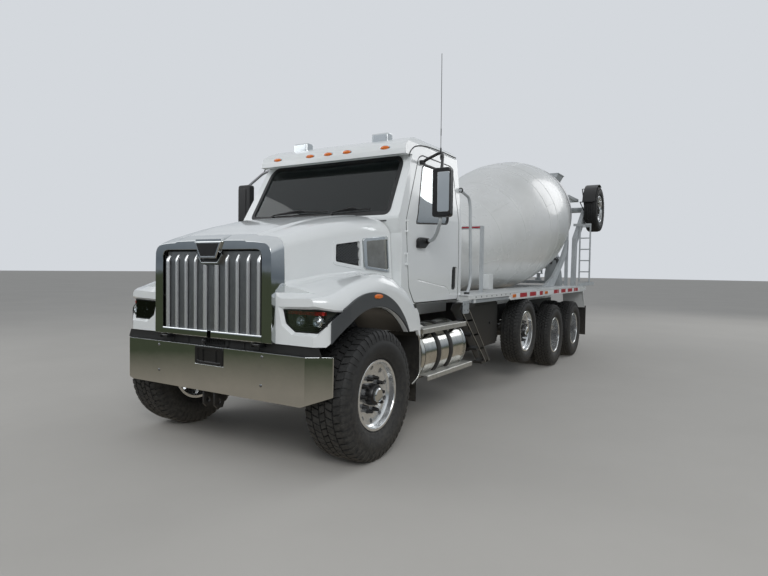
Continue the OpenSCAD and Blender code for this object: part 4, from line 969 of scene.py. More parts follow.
# pressed line that runs back along the lower door and drops at the handle
crease = [Vector((1021.5, y, z)) for y, z in ((1105, 1493), (1350, 1462), (1600, 1430), (1785, 1408), (1835, 1388),
                                              (1868, 1352), (1890, 1322))]
carve(door, cut(tube(bend(crease, 60, 4), 7, 8)))
dress_pair("door_panel", door, cab_enamel, "SIDE_door", ["door_SIDE"], 2.5, 34, 2)


def ring_on_cab(name, outer, inner, shallow, deep, body):
    """Rubber band between two side outlines, let in between two depths under the cab's skin."""
    band = carve(raw_object(name, prism(outer, "x", 815, 1100)), cut(prism(inner, "x", 700, 1200)),
                 cross(cab_solid(shallow, 0)), cut(cab_solid(deep, 0)))
    dress_pair(name, band, seal_rubber, body, (), 1.0)


ring_on_cab("door_seal", soften(grown(DOOR_EDGE, 9.4), 41), soften(grown(DOOR_EDGE, -3.2), 31), 2, 40, "truck")
ring_on_cab("door_glass_rubber", soften(grown(PANE_EDGE, -1), 34), soften(grown(PANE_EDGE, -17), 22), -2, 30,
            "SIDE_door")
glass = carve(raw_object("glass", prism(soften(grown(PANE_EDGE, -12), 24), "x", 815, 1100)),
              cross(cab_solid(12, 0)), cut(cab_solid(18, 0)))
dress_pair("door_window", glass, door_pane_glass, "SIDE_door", ["door_glass_SIDE"])

gasket = carve(raw_object("gasket", on_shield(soften(grown(SHIELD_EDGE, 12), 78), -7, 30)),
               cut(on_shield(soften(grown(SHIELD_EDGE, -30), 44), -60, 90)))
dress(gasket, seal_rubber, "truck", (), 5.0, 40, 3, "windshield_rubber")
piece("cab_windows", join([on_shield(soften(grown(SHIELD_EDGE, -20), 50), 8, 14),
                           prism(soften(rect(-432, 2388, 432, 2642), 46), "y", 2158, 2164)]), shield_glass, "truck",
      ["cab_glass"])
rear_gasket = carve(raw_object("rear_gasket", prism(soften(rect(-452, 2368, 452, 2662), 56), "y", 2184, 2197)),
                    cut(prism(soften(rect(-425, 2395, 425, 2635), 40), "y", 2100, 2300)))
dress(rear_gasket, seal_rubber, "truck", (), 3.0, name="rear_window_rubber")

gutter = [Vector(p) for p in ((966, 985, 2722), (958, 1015, 2765), (953, 1060, 2806), (951, 1130, 2848),
                              (949, 1240, 2878), (947, 1430, 2902), (946, 1766, 2912), (946, 2150, 2908))]
piece("roof_gutters", both(tube(bend(gutter, 60, 4), 6, 8)), seal_rubber, "truck")


def leaned(*points):
    """Points of the windshield's own plane in the truck's frame."""
    return [LEAN @ Vector(p) for p in points]


wipers = []
for x0, x1 in ((-560, 170), (240, 690)):
    mid = (x0 + x1) / 2
    wipers += [rod(*leaned((x0, 4, 26), (x0, -40, 34)), 15, 16),
               tube(leaned((x0, -34, 46), (mid, -36, 92), (mid + 60, -22, 84)), 8, 8),
               tube(leaned((x0 + 40, -13, 66), (mid, -13, 82), (x1, -13, 74)), 6, 8),
               tube(leaned((x0 + 40, -20, 70), (mid, -21, 88), (x1, -20, 78)), 4, 8)]
piece("wipers", join(wipers), black_plastic, "truck")

inner_mirror = moved(revolve([(0.5, -16), (60, -14), (84, -4), (84, 6), (74, 14), (0.5, 16)], (0, 0, 0), (0, 1, 0),
                             40), Matrix.Translation((-640, 1130, 2515)) @ Matrix.Diagonal((1.55, 1, 1, 1)))
mirror_stalk = tube([(-640, 1140, 2550), (-600, 1170, 2640), (-560, 1160, 2720)], 9, 8)
piece("cab_inner_mirror", join([inner_mirror, mirror_stalk]), black_plastic, "truck")
visors = [brick((x, 1165, 2640), (x + 620, 1188, 2800)) for x in (-740, 120)]
piece("cab_visors", join(visors), cab_trim, "truck", bevel=8)


def roof_lamps(profile, height):
    """A flattened round part at each of the five roof lamps."""
    part = revolve(profile, (0, 0, 0), (0, -1, 0), 28)
    return join([moved(part, Matrix.Translation((x, 934, 2822)) @ Matrix.Diagonal((2.0, 1, height, 1)))
                 for x in (-713, -246, 0, 246, 713)])


piece("roof_marker_lenses", roof_lamps([(0.5, -12), (26, -12), (26, 2), (22, 9), (12, 13), (0.5, 14)], 0.72),
      amber_lens, "truck", ["roof_lights"], smooth=30)
piece("roof_marker_seats", roof_lamps([(0.5, -12), (30, -12), (30, -2), (26, 1), (0.5, 1)], 0.76), chrome, "truck")
boxes, windows = [], []
for x in (-533, 533):
    boxes.append(prism([(1118, 2885), (1118, 3010), (1130, 3028), (1212, 3028), (1228, 3008), (1228, 2905)], "x",
                       x - 100, x + 100))
    windows.append(prism(rect(x - 82, 2925, x + 82, 3012), "y", 1114, 1122))
piece("roof_lamp_boxes", join(boxes), chrome, "truck", bevel=9, segments=4)
piece("roof_lamp_lenses", join(windows), white_lens, "truck", bevel=4)

handles = [prism(soften([(1962, 1400), (2006, 1400), (2020, 1606), (1976, 1606)], 16), "x", 1000, 1017)]
recess = [prism(soften([(1930, 1374), (2064, 1374), (2078, 1634), (1948, 1634)], 34), "x", 985, 1002)]
pair("door_handle", join(handles + recess), black_plastic, "SIDE_door", bevel=2)

# wiper tray below the glass
tray = prism([(700, 2060), (730, 2118), (760, 2118), (760, 2060)], "x", -880, 880)
piece("wiper_tray", tray, black_plastic, "truck", bevel=3)


# Mirrors: tall heads on bent tubes, an aerial on the left one

head = prism(soften(rect(1217, 2112, 1409, 2588), 34), "y", 1004, 1086)
plate = prism(soften(rect(1276, 2160, 1400, 2545), 14), "y", 998, 1010)
glass = prism(soften(rect(1232, 2130, 1396, 2570), 24), "y", 1082, 1089)
upper = tube(bend([(985, 1245, 2700), (1010, 1250, 2722), (1150, 1310, 2800), (1215, 1240, 2760),
                   (1290, 1060, 2580)], 60), 15, 12)
lower = tube(bend([(1040, 1250, 1885), (1130, 1230, 1905), (1205, 1160, 1975), (1290, 1050, 2080),
                   (1292, 1048, 2120)], 40), 18, 12)
feet = [prism(soften([(1062, 1815), (1060, 1898), (1110, 1925), (1290, 1925), (1300, 1880), (1200, 1815)], 18),
              "x", 1018, 1058), rod((1030, 1248, 1880), (1075, 1240, 1896), 26, 16),
        brick((955, 1215, 2682), (1004, 1275, 2722))]
pair("mirror_head", head, black_plastic, "SIDE_door", ["mirror_SIDE"], bevel=12, segments=4)
# the photo shows a bright plate and a black arm on the left, a black plate and a bright arm on the right; the right
# plate's black is painted shade, as that mirror's face lies in shadow
for (side, sign), plate_finish_or_painted_shade, arm_finish in zip(SIDES, (chrome, black_plastic), (black_plastic, bare_steel)):
    piece("mirror_front_plate_" + side, on_side(plate, sign), plate_finish_or_painted_shade, side + "_door", bevel=4,
          segments=3)
    piece("mirror_tube_upper_" + side, on_side(upper, sign), arm_finish, side + "_door")
pair("mirror_glass", glass, chrome, "SIDE_door", bevel=1)
pair("mirror_tube_lower", lower, machine_enamel, "SIDE_door")
pair("mirror_feet", join(feet), black_plastic, "SIDE_door", bevel=6, segments=3)
aerial = [rod((1215, 1195, 2700), (1212, 1195, 2820), 8, 10), rod((1212, 1195, 2940), (1212, 1195, 3010), 5, 8),
          tube([(1212, 1195, 2815), (1210, 1196, 3300), (1206, 1198, 3755)], 3.2, 6)]
piece("aerial", join(aerial), black_plastic, "left_door")


# Bumper: chromed channel with a top return, sloped ends, bolts and the small box in its middle

skin = [(-1214, -585), (-1150, -622), (-1045, -706), (1045, -706), (1150, -622), (1214, -585), (1214, -573),
        (1146, -608), (1042, -692), (-1042, -692), (-1146, -608), (-1214, -573)]
bumper = carve(raw_object("bumper", prism(skin, "z", 552, 932)),
               cut(both(prism([(1230, 540), (1230, 640), (1206, 628), (980, 545), (980, 500)], "y", -800, -400))),
               cut(prism(rect(-150, 778, 190, 936), "y", -760, -600)))
flange = prism([(-1214, -585), (-1150, -622), (-1045, -706), (1045, -706), (1150, -622), (1214, -585), (1196, -560),
                (1130, -590), (1030, -650), (-1030, -650), (-1130, -590), (-1196, -560)], "z", 926, 934)
dress(bumper, chrome, "truck", ["bumper"], 4.0, 40, 3, "bumper_skin")
piece("bumper_top_flange", flange, chrome, "truck", bevel=2)
bolts = [moved(revolve([(0.5, -2), (13, -2), (13, 2), (9, 5), (0.5, 6)], (0, 0, 0), (0, -1, 0), 20),
               Matrix.Translation((x, -706, z))) for x, z in ((-621, 898), (-621, 672), (615, 898), (604, 672))]
piece("bumper_bolts", join(bolts), bare_steel, "truck")
box = carve(raw_object("box", prism(soften(rect(-148, 780, 188, 930), 22), "y", -711.5, -640)),
            cut(prism(soften(rect(-118, 802, 158, 908), 16), "y", -720, -703)))
dress(box, black_plastic, "truck", (), 5.0, name="bumper_box", segments=3)
piece("bumper_box_ribs", join([prism(rect(x, 806, x + 8, 904), "y", -709, -700) for x in (-60, 96)]), black_plastic,
      "truck", bevel=2)
piece("bumper_knob", join([rod((-74, -668, 925), (-74, -672, 962), 13, 16),
                           revolve([(0.5, -20), (19, -14), (24, 0), (19, 14), (0.5, 20)], (-74, -674, 968),
                                   (0, 1, 0), 24)]), black_plastic, "truck")
valance = [prism([(-1150, 930), (1150, 930), (1120, 1001), (-1120, 1001)], "y", -640, -634)]
valance += [brick((x, -646, 938), (x + 26, -632, 990)) for x in (-520, -330, -150, 160, 340, 500)]
piece("bumper_valance", join(valance), flap_rubber, "truck", bevel=2)
mesh_part = [prism(rect(-90 + 22 * k, 945, -86 + 22 * k, 992), "y", -648, -642) for k in range(11)]
piece("bumper_screen", join(mesh_part), black_plastic, "truck")


# Flares on the wheel arches, their lamps, the fenders' tails and the guards behind the wheels

band = carve(raw_object("flare", prism(fender_plan(17), "z", 1030, 1500)),
             cut(prism([(560, -900)] + fender_plan(-3)[1:-1] + [(560, 900)], "z", 900, 1600)),
             cross(rod((900, -75, 722), (1400, -75, 722), 686, 128)),
             cut(brick((400, -900, 900), (1186, -300, 1600))),
             cut(rod((800, ARCH_Y, ARCH_Z), (1500, ARCH_Y, ARCH_Z), ARCH_R + 4, 160)),
             cut(loft([[(x, -800, z) for x, z in grown(wide, 2)], [(x, -250, z) for x, z in grown(wide, 2)]])))
dress_pair("arch_flare", band, flare_plastic, "hood", ["arch_flares"], 7.0, 40, 3)
liner = carve(raw_object("liner", rod((700, ARCH_Y, ARCH_Z), (1190, ARCH_Y, ARCH_Z), ARCH_R - 1.5, 128)),
              cut(rod((600, ARCH_Y, ARCH_Z), (1300, ARCH_Y, ARCH_Z), ARCH_R - 7, 128)),
              cross(prism(fender_plan(-6), "z", 1032, 1400)))
dress_pair("arch_liner", liner, black_plastic, "hood")
marker = moved(revolve([(0.5, -8), (34, -8), (34, 2), (28, 9), (0.5, 12)], (0, 0, 0), (1, 0, 0), 28),
               Matrix.Translation((1250, -8, 1372)) @ Matrix.Diagonal((1, 1.9, 0.6, 1)))
pair("flare_lamp", marker, amber_lens, "hood", smooth=30)
rows = [((500, 1236), (706, 1236)), ((520, 1218), (742, 1190)), ((600, 1176), (768, 1120)),
        ((690, 1098), (778, 1021)), ((752, 985), (784, 960))]
tail = loft([[(1200, a, b), (1230, a, b), (1230, c, d), (1200, c, d)] for (a, b), (c, d) in rows])
pair("fender_tail", tail, cab_enamel, "hood", bevel=8, segments=3)
guard = loft([[(898, y, z), (1214, y, z), (1214, y + 8, z), (898, y + 8, z)] for y, z in (
    (742, 1010), (778, 960), (790, 800), (790, 640), (768, 560), (700, 515))])
pair("wheel_guard", guard, flap_rubber, "truck", bevel=2)
edge = tube(bend([(1218, 752, 1000), (1218, 790, 930), (1218, 802, 780), (1218, 800, 618), (1206, 770, 560),
                  (1190, 700, 520)], 60), 7, 8)
pair("guard_edge", edge, tread_alloy, "truck")
pair("front_flap", prism([(905, 800), (1180, 800), (1180, 806), (905, 806)], "z", 330, 620), flap_rubber, "truck",
     bevel=2)


# Vent and bright panel in the hood's sides

def side_slab(outline, ahead, behind, name):
    """Slab of the hood's left side within an outline, from ahead of its skin to behind it."""
    return carve(raw_object(name, prism(outline, "x", 700, 1100)), cross(hood_body(-400, 800, -ahead, 40, 1000)),
                 cut(hood_body(-450, 850, behind, 40, 900)))


rim = carve(side_slab(soften(grown(VENT_EDGE, 30), 34), 7, 20, "vent_rim"),
            cut(prism(soften(VENT_EDGE, 20), "x", 600, 1200)))
dress_pair("vent_rim", rim, cab_enamel, "hood", (), 5.0, 40, 3)
dress_pair("vent_back", side_slab(grown(VENT_EDGE, 2), -26, 34, "vent_back"), seal_rubber, "hood")
net_parts = []
for k in range(-8, 16):
    for lean in (1, -1):
        pts = []
        for t in np.linspace(0, 1, 14):
            y, z = -10 + k * 40 + lean * t * 400, 1610 + t * 240
            top = 1807 + (y - 1) * 42 / 314 - 3
            low = 1659 - (y + 7) * 40 / 327 + 3
            if 2 < y < 314 and low < z < top:
                width, flare = hood_width(y)[0], hood_width(y)[4]
                pts.append((width + (8 + 0.8 * flare) * 0.4 - 10 - max(0, z - 1800) * 0.12, y, z))
        if len(pts) > 1:
            net_parts.append(tube(pts, 4, 6))
# the net is given the flares' lighter grey, a painted sheen standing for the highlights on its gloss black wire
pair("vent_net", join(net_parts), flare_plastic, "hood")
PLATE_EDGE = [(392, 1850), (396, 1622), (690, 1594), (690, 1884)]
frame_of = carve(side_slab(soften(grown(PANEL_EDGE, 4), 26), 17, 10, "panel_frame"),
                 cut(prism(soften(PLATE_EDGE, 12), "x", 600, 1200)))
dress_pair("side_panel_frame", frame_of, chrome, "hood", (), 8.0, 40, 4)
# the plate's chrome is darkened, a painted reflection of the ground
dress_pair("side_panel_plate", side_slab(grown(PLATE_EDGE, 3), 6, 10, "panel_plate"), panel_chrome_painted_reflection, "hood",
           (), 2.0)


# Fuel tanks with domed ends, straps, treads with punched holes, slanted steps and the front bracket

TANK_AT, TANK_R = (940, 870, 760), 280  # middle of the front end, radius


def tank_ring(profile):
    """Ring round the tank's axis from (radius past the sheet, distance from the front end)."""
    return revolve([(TANK_R + r, y) for r, y in profile], TANK_AT, (0, 1, 0), 72)


sheet = revolve([(0.5, -14), (120, -10), (220, 2), (262, 22), (280, 52), (280, 968), (262, 998), (220, 1018),
                 (120, 1030), (0.5, 1034)], TANK_AT, (0, 1, 0), 72)
pair("fuel_tank_sheet", sheet, tank_alloy, "truck", ["fuel_tanks"], smooth=25)
seams = [tank_ring([(-2, y - 3), (4, y - 3), (4, y + 3), (-2, y + 3)]) for y in (52, 968)]
pair("fuel_tank_seams", join(seams), tank_alloy, "truck", bevel=1)
pair("fuel_tank_rear_ring", tank_ring([(-12, 1000), (9, 1000), (9, 1016), (-12, 1020)]), chrome, "truck",
     bevel=3)
straps = [tank_ring([(1, y - 36), (8, y - 36), (10, y - 30), (10, y + 30), (8, y + 36), (1, y + 36)])
          for y in (350, 640)]
pair("fuel_tank_straps", join(straps), flap_rubber, "truck")
filler = [rod((1085, 1010, 985), (1105, 1010, 1018), 62, 28), rod((1104, 1010, 1016), (1114, 1010, 1034), 54, 28)]
pair("fuel_tank_cap", join(filler), tread_alloy, "truck", bevel=2)
brackets = [prism([(432, 1000), (432, 620), (700, 500), (960, 470), (960, 482), (712, 520), (660, 700),
                   (660, 1000)], "y", y, y + 60) for y in (1090, 1700)]
pair("fuel_tank_brackets", join(brackets), chassis_black, "truck", bevel=3)

PITCH = 44  # of the treads' punched holes along the tread
for name, (x0, y0, z0), (x1, y1, z1), replaced in (("lower_tread", (1148, 880, 548), (1264, 1984, 574),
                                                    ["tank_steps"]),
                                                   ("upper_tread", (1096, 842, 1002), (1229, 1888, 1028), [])):
    tread = [(x0, z0), (x0, z1 - 4), (x0 + 4, z1), (x1 - 6, z1), (x1, z1 - 5), (x1, z0 - 22), (x1 - 5, z0 - 22),
             (x1 - 5, z1 - 7), (x0 + 6, z1 - 7), (x0 + 6, z0)]
    holes = []
    for i in range(int((x1 - x0 - 30) / 27) + 1):
        for j in range(int((y1 - y0 - 50) / PITCH)):
            x, y = x0 + 22 + 27 * i, y0 + 24 + PITCH * (j + 0.5 * (i % 2))
            holes.append(rod((x, y, z0 - 30), (x, y, z1 + 30), 8.5, 8))
    made = carve(raw_object(name, prism(tread, "y", y0, y1)), cut(join(holes)))
    dress_pair(name, made, tread_alloy, "truck", replaced, 0.8)
holders = [prism(outline, "y", y, y + 50) for outline in (
    [(1150, 548), (1150, 572), (1090, 640), (1080, 632), (1120, 560)],
    [(1098, 1002), (1210, 1002), (1216, 990), (1130, 940), (1098, 952)]) for y in (1110, 1720)]
pair("tread_holders", join(holders), chassis_black, "truck", bevel=2)
steps = [prism([(2215, 1220), (1850, 1220), (1790, 1160), (1860, 1120), (2600, 470), (2730, 470), (2020, 1160),
                (2215, 1180)], "x", x, x + 10) for x in (1074, 1182)]
steps += [brick((1074, y - 40, z), (1192, y + 190, z + 24))
          for y, z in ((2510, 470), (2330, 650), (2150, 830), (1975, 1010))]
pair("deck_steps", join(steps), chassis_black, "truck", bevel=2)
noses = [tube([(1196, 2732, 476), (1196, 2020, 1168)], 3, 6), tube([(1196, 2602, 472), (1196, 1862, 1122)], 3, 6),
         brick((1072, 2700, 470), (1194, 2706, 496))]
pair("deck_step_edges", join(noses), tread_alloy, "truck")
plate = carve(raw_object("bracket", prism(soften(rect(1850, 1110, 2010, 1250), 14), "x", 1196, 1208)),
              cut(join([rod((1150, y, z), (1250, y, z), 14, 20) for y in (1885, 1975) for z in (1145, 1215)])))
dress_pair("cab_bracket", plate, deck_grey, "truck", (), 1.5)


# Deck: side boards with tape and lamps, front channel, sloped ends

rounded("deck", deck_enamel, 2.0, "deck_panels")
boards, red, white, ambers, rivets = [], [], [], [], []
boards.append(prism([(2126, 1262), (3431, 1262), (3431, 1210), (3452, 1206), (7870, 1206), (8046, 874), (8060, 878),
                     (7884, 1312), (2126, 1312)], "x", 1206, 1219.5))
boards.append(brick((1190, 2126, 1304), (1222, 7880, 1313)))
for low, high in ((3806, 4130), (4276, 4594), (4786, 4957), (5622, 5958), (6106, 6430), (6591, 6925), (7072, 7405)):
    red.append(brick((1219, low, 1228), (1221, high, 1288)))
for low, high in ((3640, 3806), (4594, 4786), (5240, 5622), (5958, 6106), (6430, 6591), (6925, 7072), (7405, 7560)):
    white.append(brick((1219, low, 1228), (1221, high, 1288)))
for low, high in ((3492, 3615), (5080, 5217)):
    ambers.append(brick((1219, low, 1236), (1230, high, 1280)))
for k in range(8):
    rivets.append(moved(revolve([(0.5, -2), (11, -2), (10, 3), (5, 6), (0.5, 6)], (0, 0, 0), (1, 0, 0), 12),
                        Matrix.Translation((1219, 2180 + 172 * k, 1288))))
for y in range(4600, 7900, 640):
    boards.append(brick((1219, y, 1208), (1224, y + 10, 1306)))
piece("deck_side_boards", both(join(boards)), deck_enamel, "truck", bevel=2)
piece("deck_red_tape", both(join(red)), red_tape, "truck")
piece("deck_white_tape", both(join(white)), white_tape, "truck")
piece("deck_side_lamps", both(join(ambers)), amber_lens, "truck", bevel=4)
piece("deck_front_bolts", both(join(rivets)), bare_steel, "truck")
channel = [prism(rect(2140, 1216, 3428, 1258), "x", 1180, 1206)]
piece("deck_front_channel", both(join(channel)), deck_grey, "truck", bevel=3)
tail_bar = brick((-850, 8380, 1130), (850, 8448, 1240))
piece("rear_light_bar", tail_bar, machine_enamel, "truck", bevel=4)
piece("rear_lights", join([revolve([(0.5, -2), (50, -2), (50, 8), (40, 14), (0.5, 15)], (x, 8450, 1185), (0, 1, 0),
                                   32) for x in (-760, -640, 640, 760)]), red_lens, "truck")

# closed boxes under the deck: doors with frames and latches, plain mud flaps with hangers
body_box = carve(raw_object("box", prism(rect(2350, 620, 3350, 1200), "x", 760, 1040)),
                 fuse(brick((762, 3344, 640), (1038, 3400, 1180))))
dress_pair("side_box", body_box, chassis_black, "truck", ["flaps_and_boxes"], 6.0)
door = [brick((1040, 2400, 660), (1047, 3300, 1160))]
door += [brick((1047, y, 900), (1060, y + 60, 930)) for y in (2560, 3080)]
pair("side_box_door", join(door), chassis_black, "truck", bevel=3)
flap = [brick((642, 8180, 300), (1218, 8188, 900))]
flap += [brick((650 + 70 * k, 8188, 320), (654 + 70 * k, 8191, 860)) for k in range(9)]
pair("rear_flap", join(flap), flap_rubber, "truck", bevel=1.5)
hanger = [rod((432, 8192, 880), (1212, 8192, 880), 12, 12), rod((432, 788, 978), (1180, 788, 978), 12, 12)]
pair("flap_hangers", join(hanger), chassis_black, "truck")
# black fender and its stays beside each trailing wheel
TRAIL_Y, TRAIL_Z = 9380, 3000
fender = loft([[(x, TRAIL_Y + r * math.cos(a), TRAIL_Z + r * math.sin(a)) for x, r in (
    (950, 548), (1212, 548), (1212, 540), (950, 540))] for a in np.radians(np.arange(70, 172, 6))])
pair("trail_fender", fender, black_plastic, "trailing_axle", bevel=1)
stays = [tube([(905, 9320, 3040), (905, 9050, 3427), (1180, 9050, 3427)], 11, 8),
         tube([(905, 9300, 2960), (905, 8853, 3120), (1180, 8853, 3120)], 11, 8)]
pair("trail_fender_stays", join(stays), chassis_black, "trailing_axle")


# Behind the cab: grab rail, frame with its red stripe, white cabinet, hoses

rail = tube(bend([(1000, 2180, 2535), (1000, 2440, 2480), (1000, 2485, 2380), (1000, 2530, 1500),
                  (1000, 2500, 1390), (1000, 2420, 1322)], 90, 8), 18, 14)
piece("grab_rail", rail, machine_enamel, "truck")
piece("grab_rail_foot", join([rod((1000, 2420, 1310), (1000, 2420, 1330), 34, 20),
      rod((1000, 2186, 2535), (1000, 2196, 2535), 30, 20)]), black_plastic, "truck", bevel=2)
piece("frame_red_stripe", brick((-905, 3048, 2158), (905, 3052, 2174)), red_tape, "truck")
cabinet = brick((930, 3098, 1350), (1030, 3240, 1553))
piece("white_cabinet", both(join([cabinet, brick((942, 3090, 1366), (1018, 3098, 1537))])), deck_enamel, "truck",
      bevel=7, segments=3)
hoses = [tube(bend([(700, 2560, 1300), (700, 2600, 1560), (560, 2700, 1700), (420, 2760, 1640)], 120), 19, 10),
         tube(bend([(760, 2560, 1300), (768, 2620, 1500), (600, 2760, 1600), (400, 2800, 1560)], 120), 16, 10)]
piece("hydraulic_hoses", join(hoses), flap_rubber, "truck")


# Drum: finely turned skin with its weld seams, track ring, hatch and lip

TILT = math.radians(13)
DRUM_BASE, DRUM_AXIS = Vector((0, 2600, 1597)), Vector((0, math.cos(TILT), math.sin(TILT)))
# places along the axis: end of the head, both ends of the belly, mouth, track ring
S1, S2, S3, S4, RING_S = 1150, 3670, 4370, 6150, 5100


def drum_profile():
    """Outer skin (radius, along the axis), eased at each change of section."""
    rough = [(310, 820), (533, 950), (620, S1), (1102, S2 - 370), (1142, S2), (1142, S3), (1097, S3 + 380),
             (560, S4)]
    points = []
    for (r0, a0), (r1, a1) in zip(rough, rough[1:]):
        steps = max(2, int((a1 - a0) / 130))
        points += [(r0 + (r1 - r0) * k / steps, a0 + (a1 - a0) * k / steps) for k in range(steps)]
    return points + [rough[-1]]


skin = drum_profile()
for _ in range(2):
    skin = [skin[0]] + [((p[0] + 2 * q[0] + r[0]) / 4, q[1]) if 1300 < q[1] < 6000 else q
                        for p, q, r in zip(skin, skin[1:], skin[2:])] + [skin[-1]]
inner_line = [(r - 9, a + (2 if i else 9)) for i, (r, a) in enumerate(skin)]
lip = [(560, S4), (572, S4 + 4), (574, S4 + 14), (562, S4 + 18), (551, S4 + 8)]
shell_part = revolve([(0.5, 820)] + skin + lip[1:] + inner_line[::-1] + [(0.5, 829)], DRUM_BASE, DRUM_AXIS, 160)
piece("drum_skin", shell_part, drum_enamel, "mixer_drum", ["drum"], smooth=50)


def skin_r(along):
    """The drum's outer radius at a place along its axis."""
    return float(np.interp(along, [a for r, a in skin], [r for r, a in skin]))


seams = []
for a in (S1 + 8, S1 + 640, S1 + 1330, S2 - 370, S2 - 10, S3 + 10, S3 + 380, S3 + 1180, S4 - 380):
    seams.append(revolve([(skin_r(a - 9) - 2, a - 9), (skin_r(a - 6) + 2.4, a - 6), (skin_r(a) + 3.8, a),
                          (skin_r(a + 6) + 2.4, a + 6), (skin_r(a + 9) - 2, a + 9)], DRUM_BASE, DRUM_AXIS, 160))
piece("drum_weld_seams", join(seams), drum_enamel, "mixer_drum")
side_of = Vector((1, 0, 0))
up_of = DRUM_AXIS.cross(side_of)
lines = []
# turn round the axis in radians, start and end along it
for turn0, a0, a1 in ((0.3, S1 + 20, S1 + 640), (1.4, S1 + 640, S1 + 1330), (2.6, S1 + 1330, S2 - 370),
                      (3.9, S2, S3), (5.0, S2, S3), (0.9, S3 + 380, S3 + 1180), (4.4, S3 + 1180, S4 - 380),
                      (5.6, S1 + 640, S1 + 1330), (-0.35, S2 - 370, S2), (2.0, S3 + 10, S3 + 380)):
    out = side_of * math.cos(turn0) + up_of * math.sin(turn0)
    lines.append(tube([DRUM_BASE + DRUM_AXIS * a + out * (skin_r(a) + 0.6) for a in np.linspace(a0, a1, 12)], 3.2,
                      6))
piece("drum_long_welds", join(lines), drum_enamel, "mixer_drum")
ring = [(skin_r(RING_S - 45) - 6, -45), (1016, -45), (1020, -41), (1020, 41), (1016, 45),
        (skin_r(RING_S + 45) - 6, 45)]
piece("drum_track_ring", revolve([(r, RING_S + a) for r, a in ring], DRUM_BASE, DRUM_AXIS, 160), bare_steel,
      "mixer_drum", smooth=30)
hatch_out = side_of * math.cos(2.35) + up_of * math.sin(2.35)
mid = DRUM_BASE + DRUM_AXIS * ((S2 + S3) / 2) + hatch_out * 1136
turn = Matrix((hatch_out.cross(DRUM_AXIS), DRUM_AXIS, hatch_out)).transposed().to_4x4()
cover = moved(prism(soften(rect(-230, -290, 230, 290), 90), "z", -12, 10), Matrix.Translation(mid) @ turn)
studs = [moved(revolve([(0.5, 8), (15, 8), (15, 16), (10, 19), (0.5, 19)], (0, 0, 0), (0, 0, 1), 6),
               Matrix.Translation(mid) @ turn @ Matrix.Translation((x, y, 0)))
         for x, y in ((-195, -250), (195, -250), (-195, 250), (195, 250), (-200, 0), (200, 0), (0, -262), (0, 262))]
piece("drum_hatch", join([cover] + studs), drum_enamel, "mixer_drum", bevel=4)


# Rear end: stand, slanted legs, ladder, hopper, chutes with rounded edges

rounded("pedestals", machine_enamel, 3.0)
for node in ("hoppers", "main_chute", "fold_chute", "chute_post"):
    rounded(node, machine_enamel, 2.0)
rounded("frame_rails", chassis_black, 2.0)
leg = prism([(6430, 1312), (7105, 1312), (7760, 1722), (8200, 2063), (8200, 2270), (8140, 2230), (7700, 1850),
             (7100, 1500)], "x", 775, 835)
pair("slanted_leg", leg, machine_enamel, "truck", bevel=4)
steps = [brick((960, 8600, 1380), (990, 8630, 2580)), brick((1170, 8600, 1380), (1200, 8630, 2580))]
steps += [rod((985, 8615, z), (1175, 8615, z), 13, 12) for z in range(1600, 2561, 240)]
steps.append(brick((835, 8590, 2580), (1200, 8630, 2630)))
steps += [brick((1150, 7700, 1312), (1200, 9050, 1370)), brick((960, 8560, 1370), (1200, 9050, 1380))]
steps += [brick((x0, 3050, 1310), (x0 + 45, 3095, 2185)) for x0 in (-950, 905)]
steps.append(brick((-905, 3055, 2145), (905, 3090, 2185)))
piece("ladder_and_frame", join(steps), machine_enamel, "truck", ["ladder_and_rails"], bevel=4)
grates = [brick((965 + 22 * k, 8566, 1380), (971 + 22 * k, 9044, 1388)) for k in range(11)]
piece("ladder_platform_bars", join(grates), tread_alloy, "truck")
knob = revolve([(0.5, -20), (22, -16), (28, 0), (22, 16), (0.5, 20)], (1080, 8530, 2640), (0, 0, 1), 24)
piece("ladder_lamp", knob, black_plastic, "truck")
rim = tube([(480, 8640, 3750), (480, 9130, 3750), (-480, 9130, 3750), (-480, 8640, 3750), (480, 8640, 3750)], 9, 8)
piece("hopper_rim", rim, machine_enamel, "truck")


# Camera from the photograph, soft light and pale floor

# solved from the wheels in the photo: place in metres, yaw, pitch and roll in radians, focal length in pixels
PHOTO_FROM = (3.69927, -3.96430 - AXLE_AHEAD / 1000, 1.59682)
PHOTO_TURN = (0.545476, -0.033250, 0.013444)
PHOTO_FOCAL = 564.689


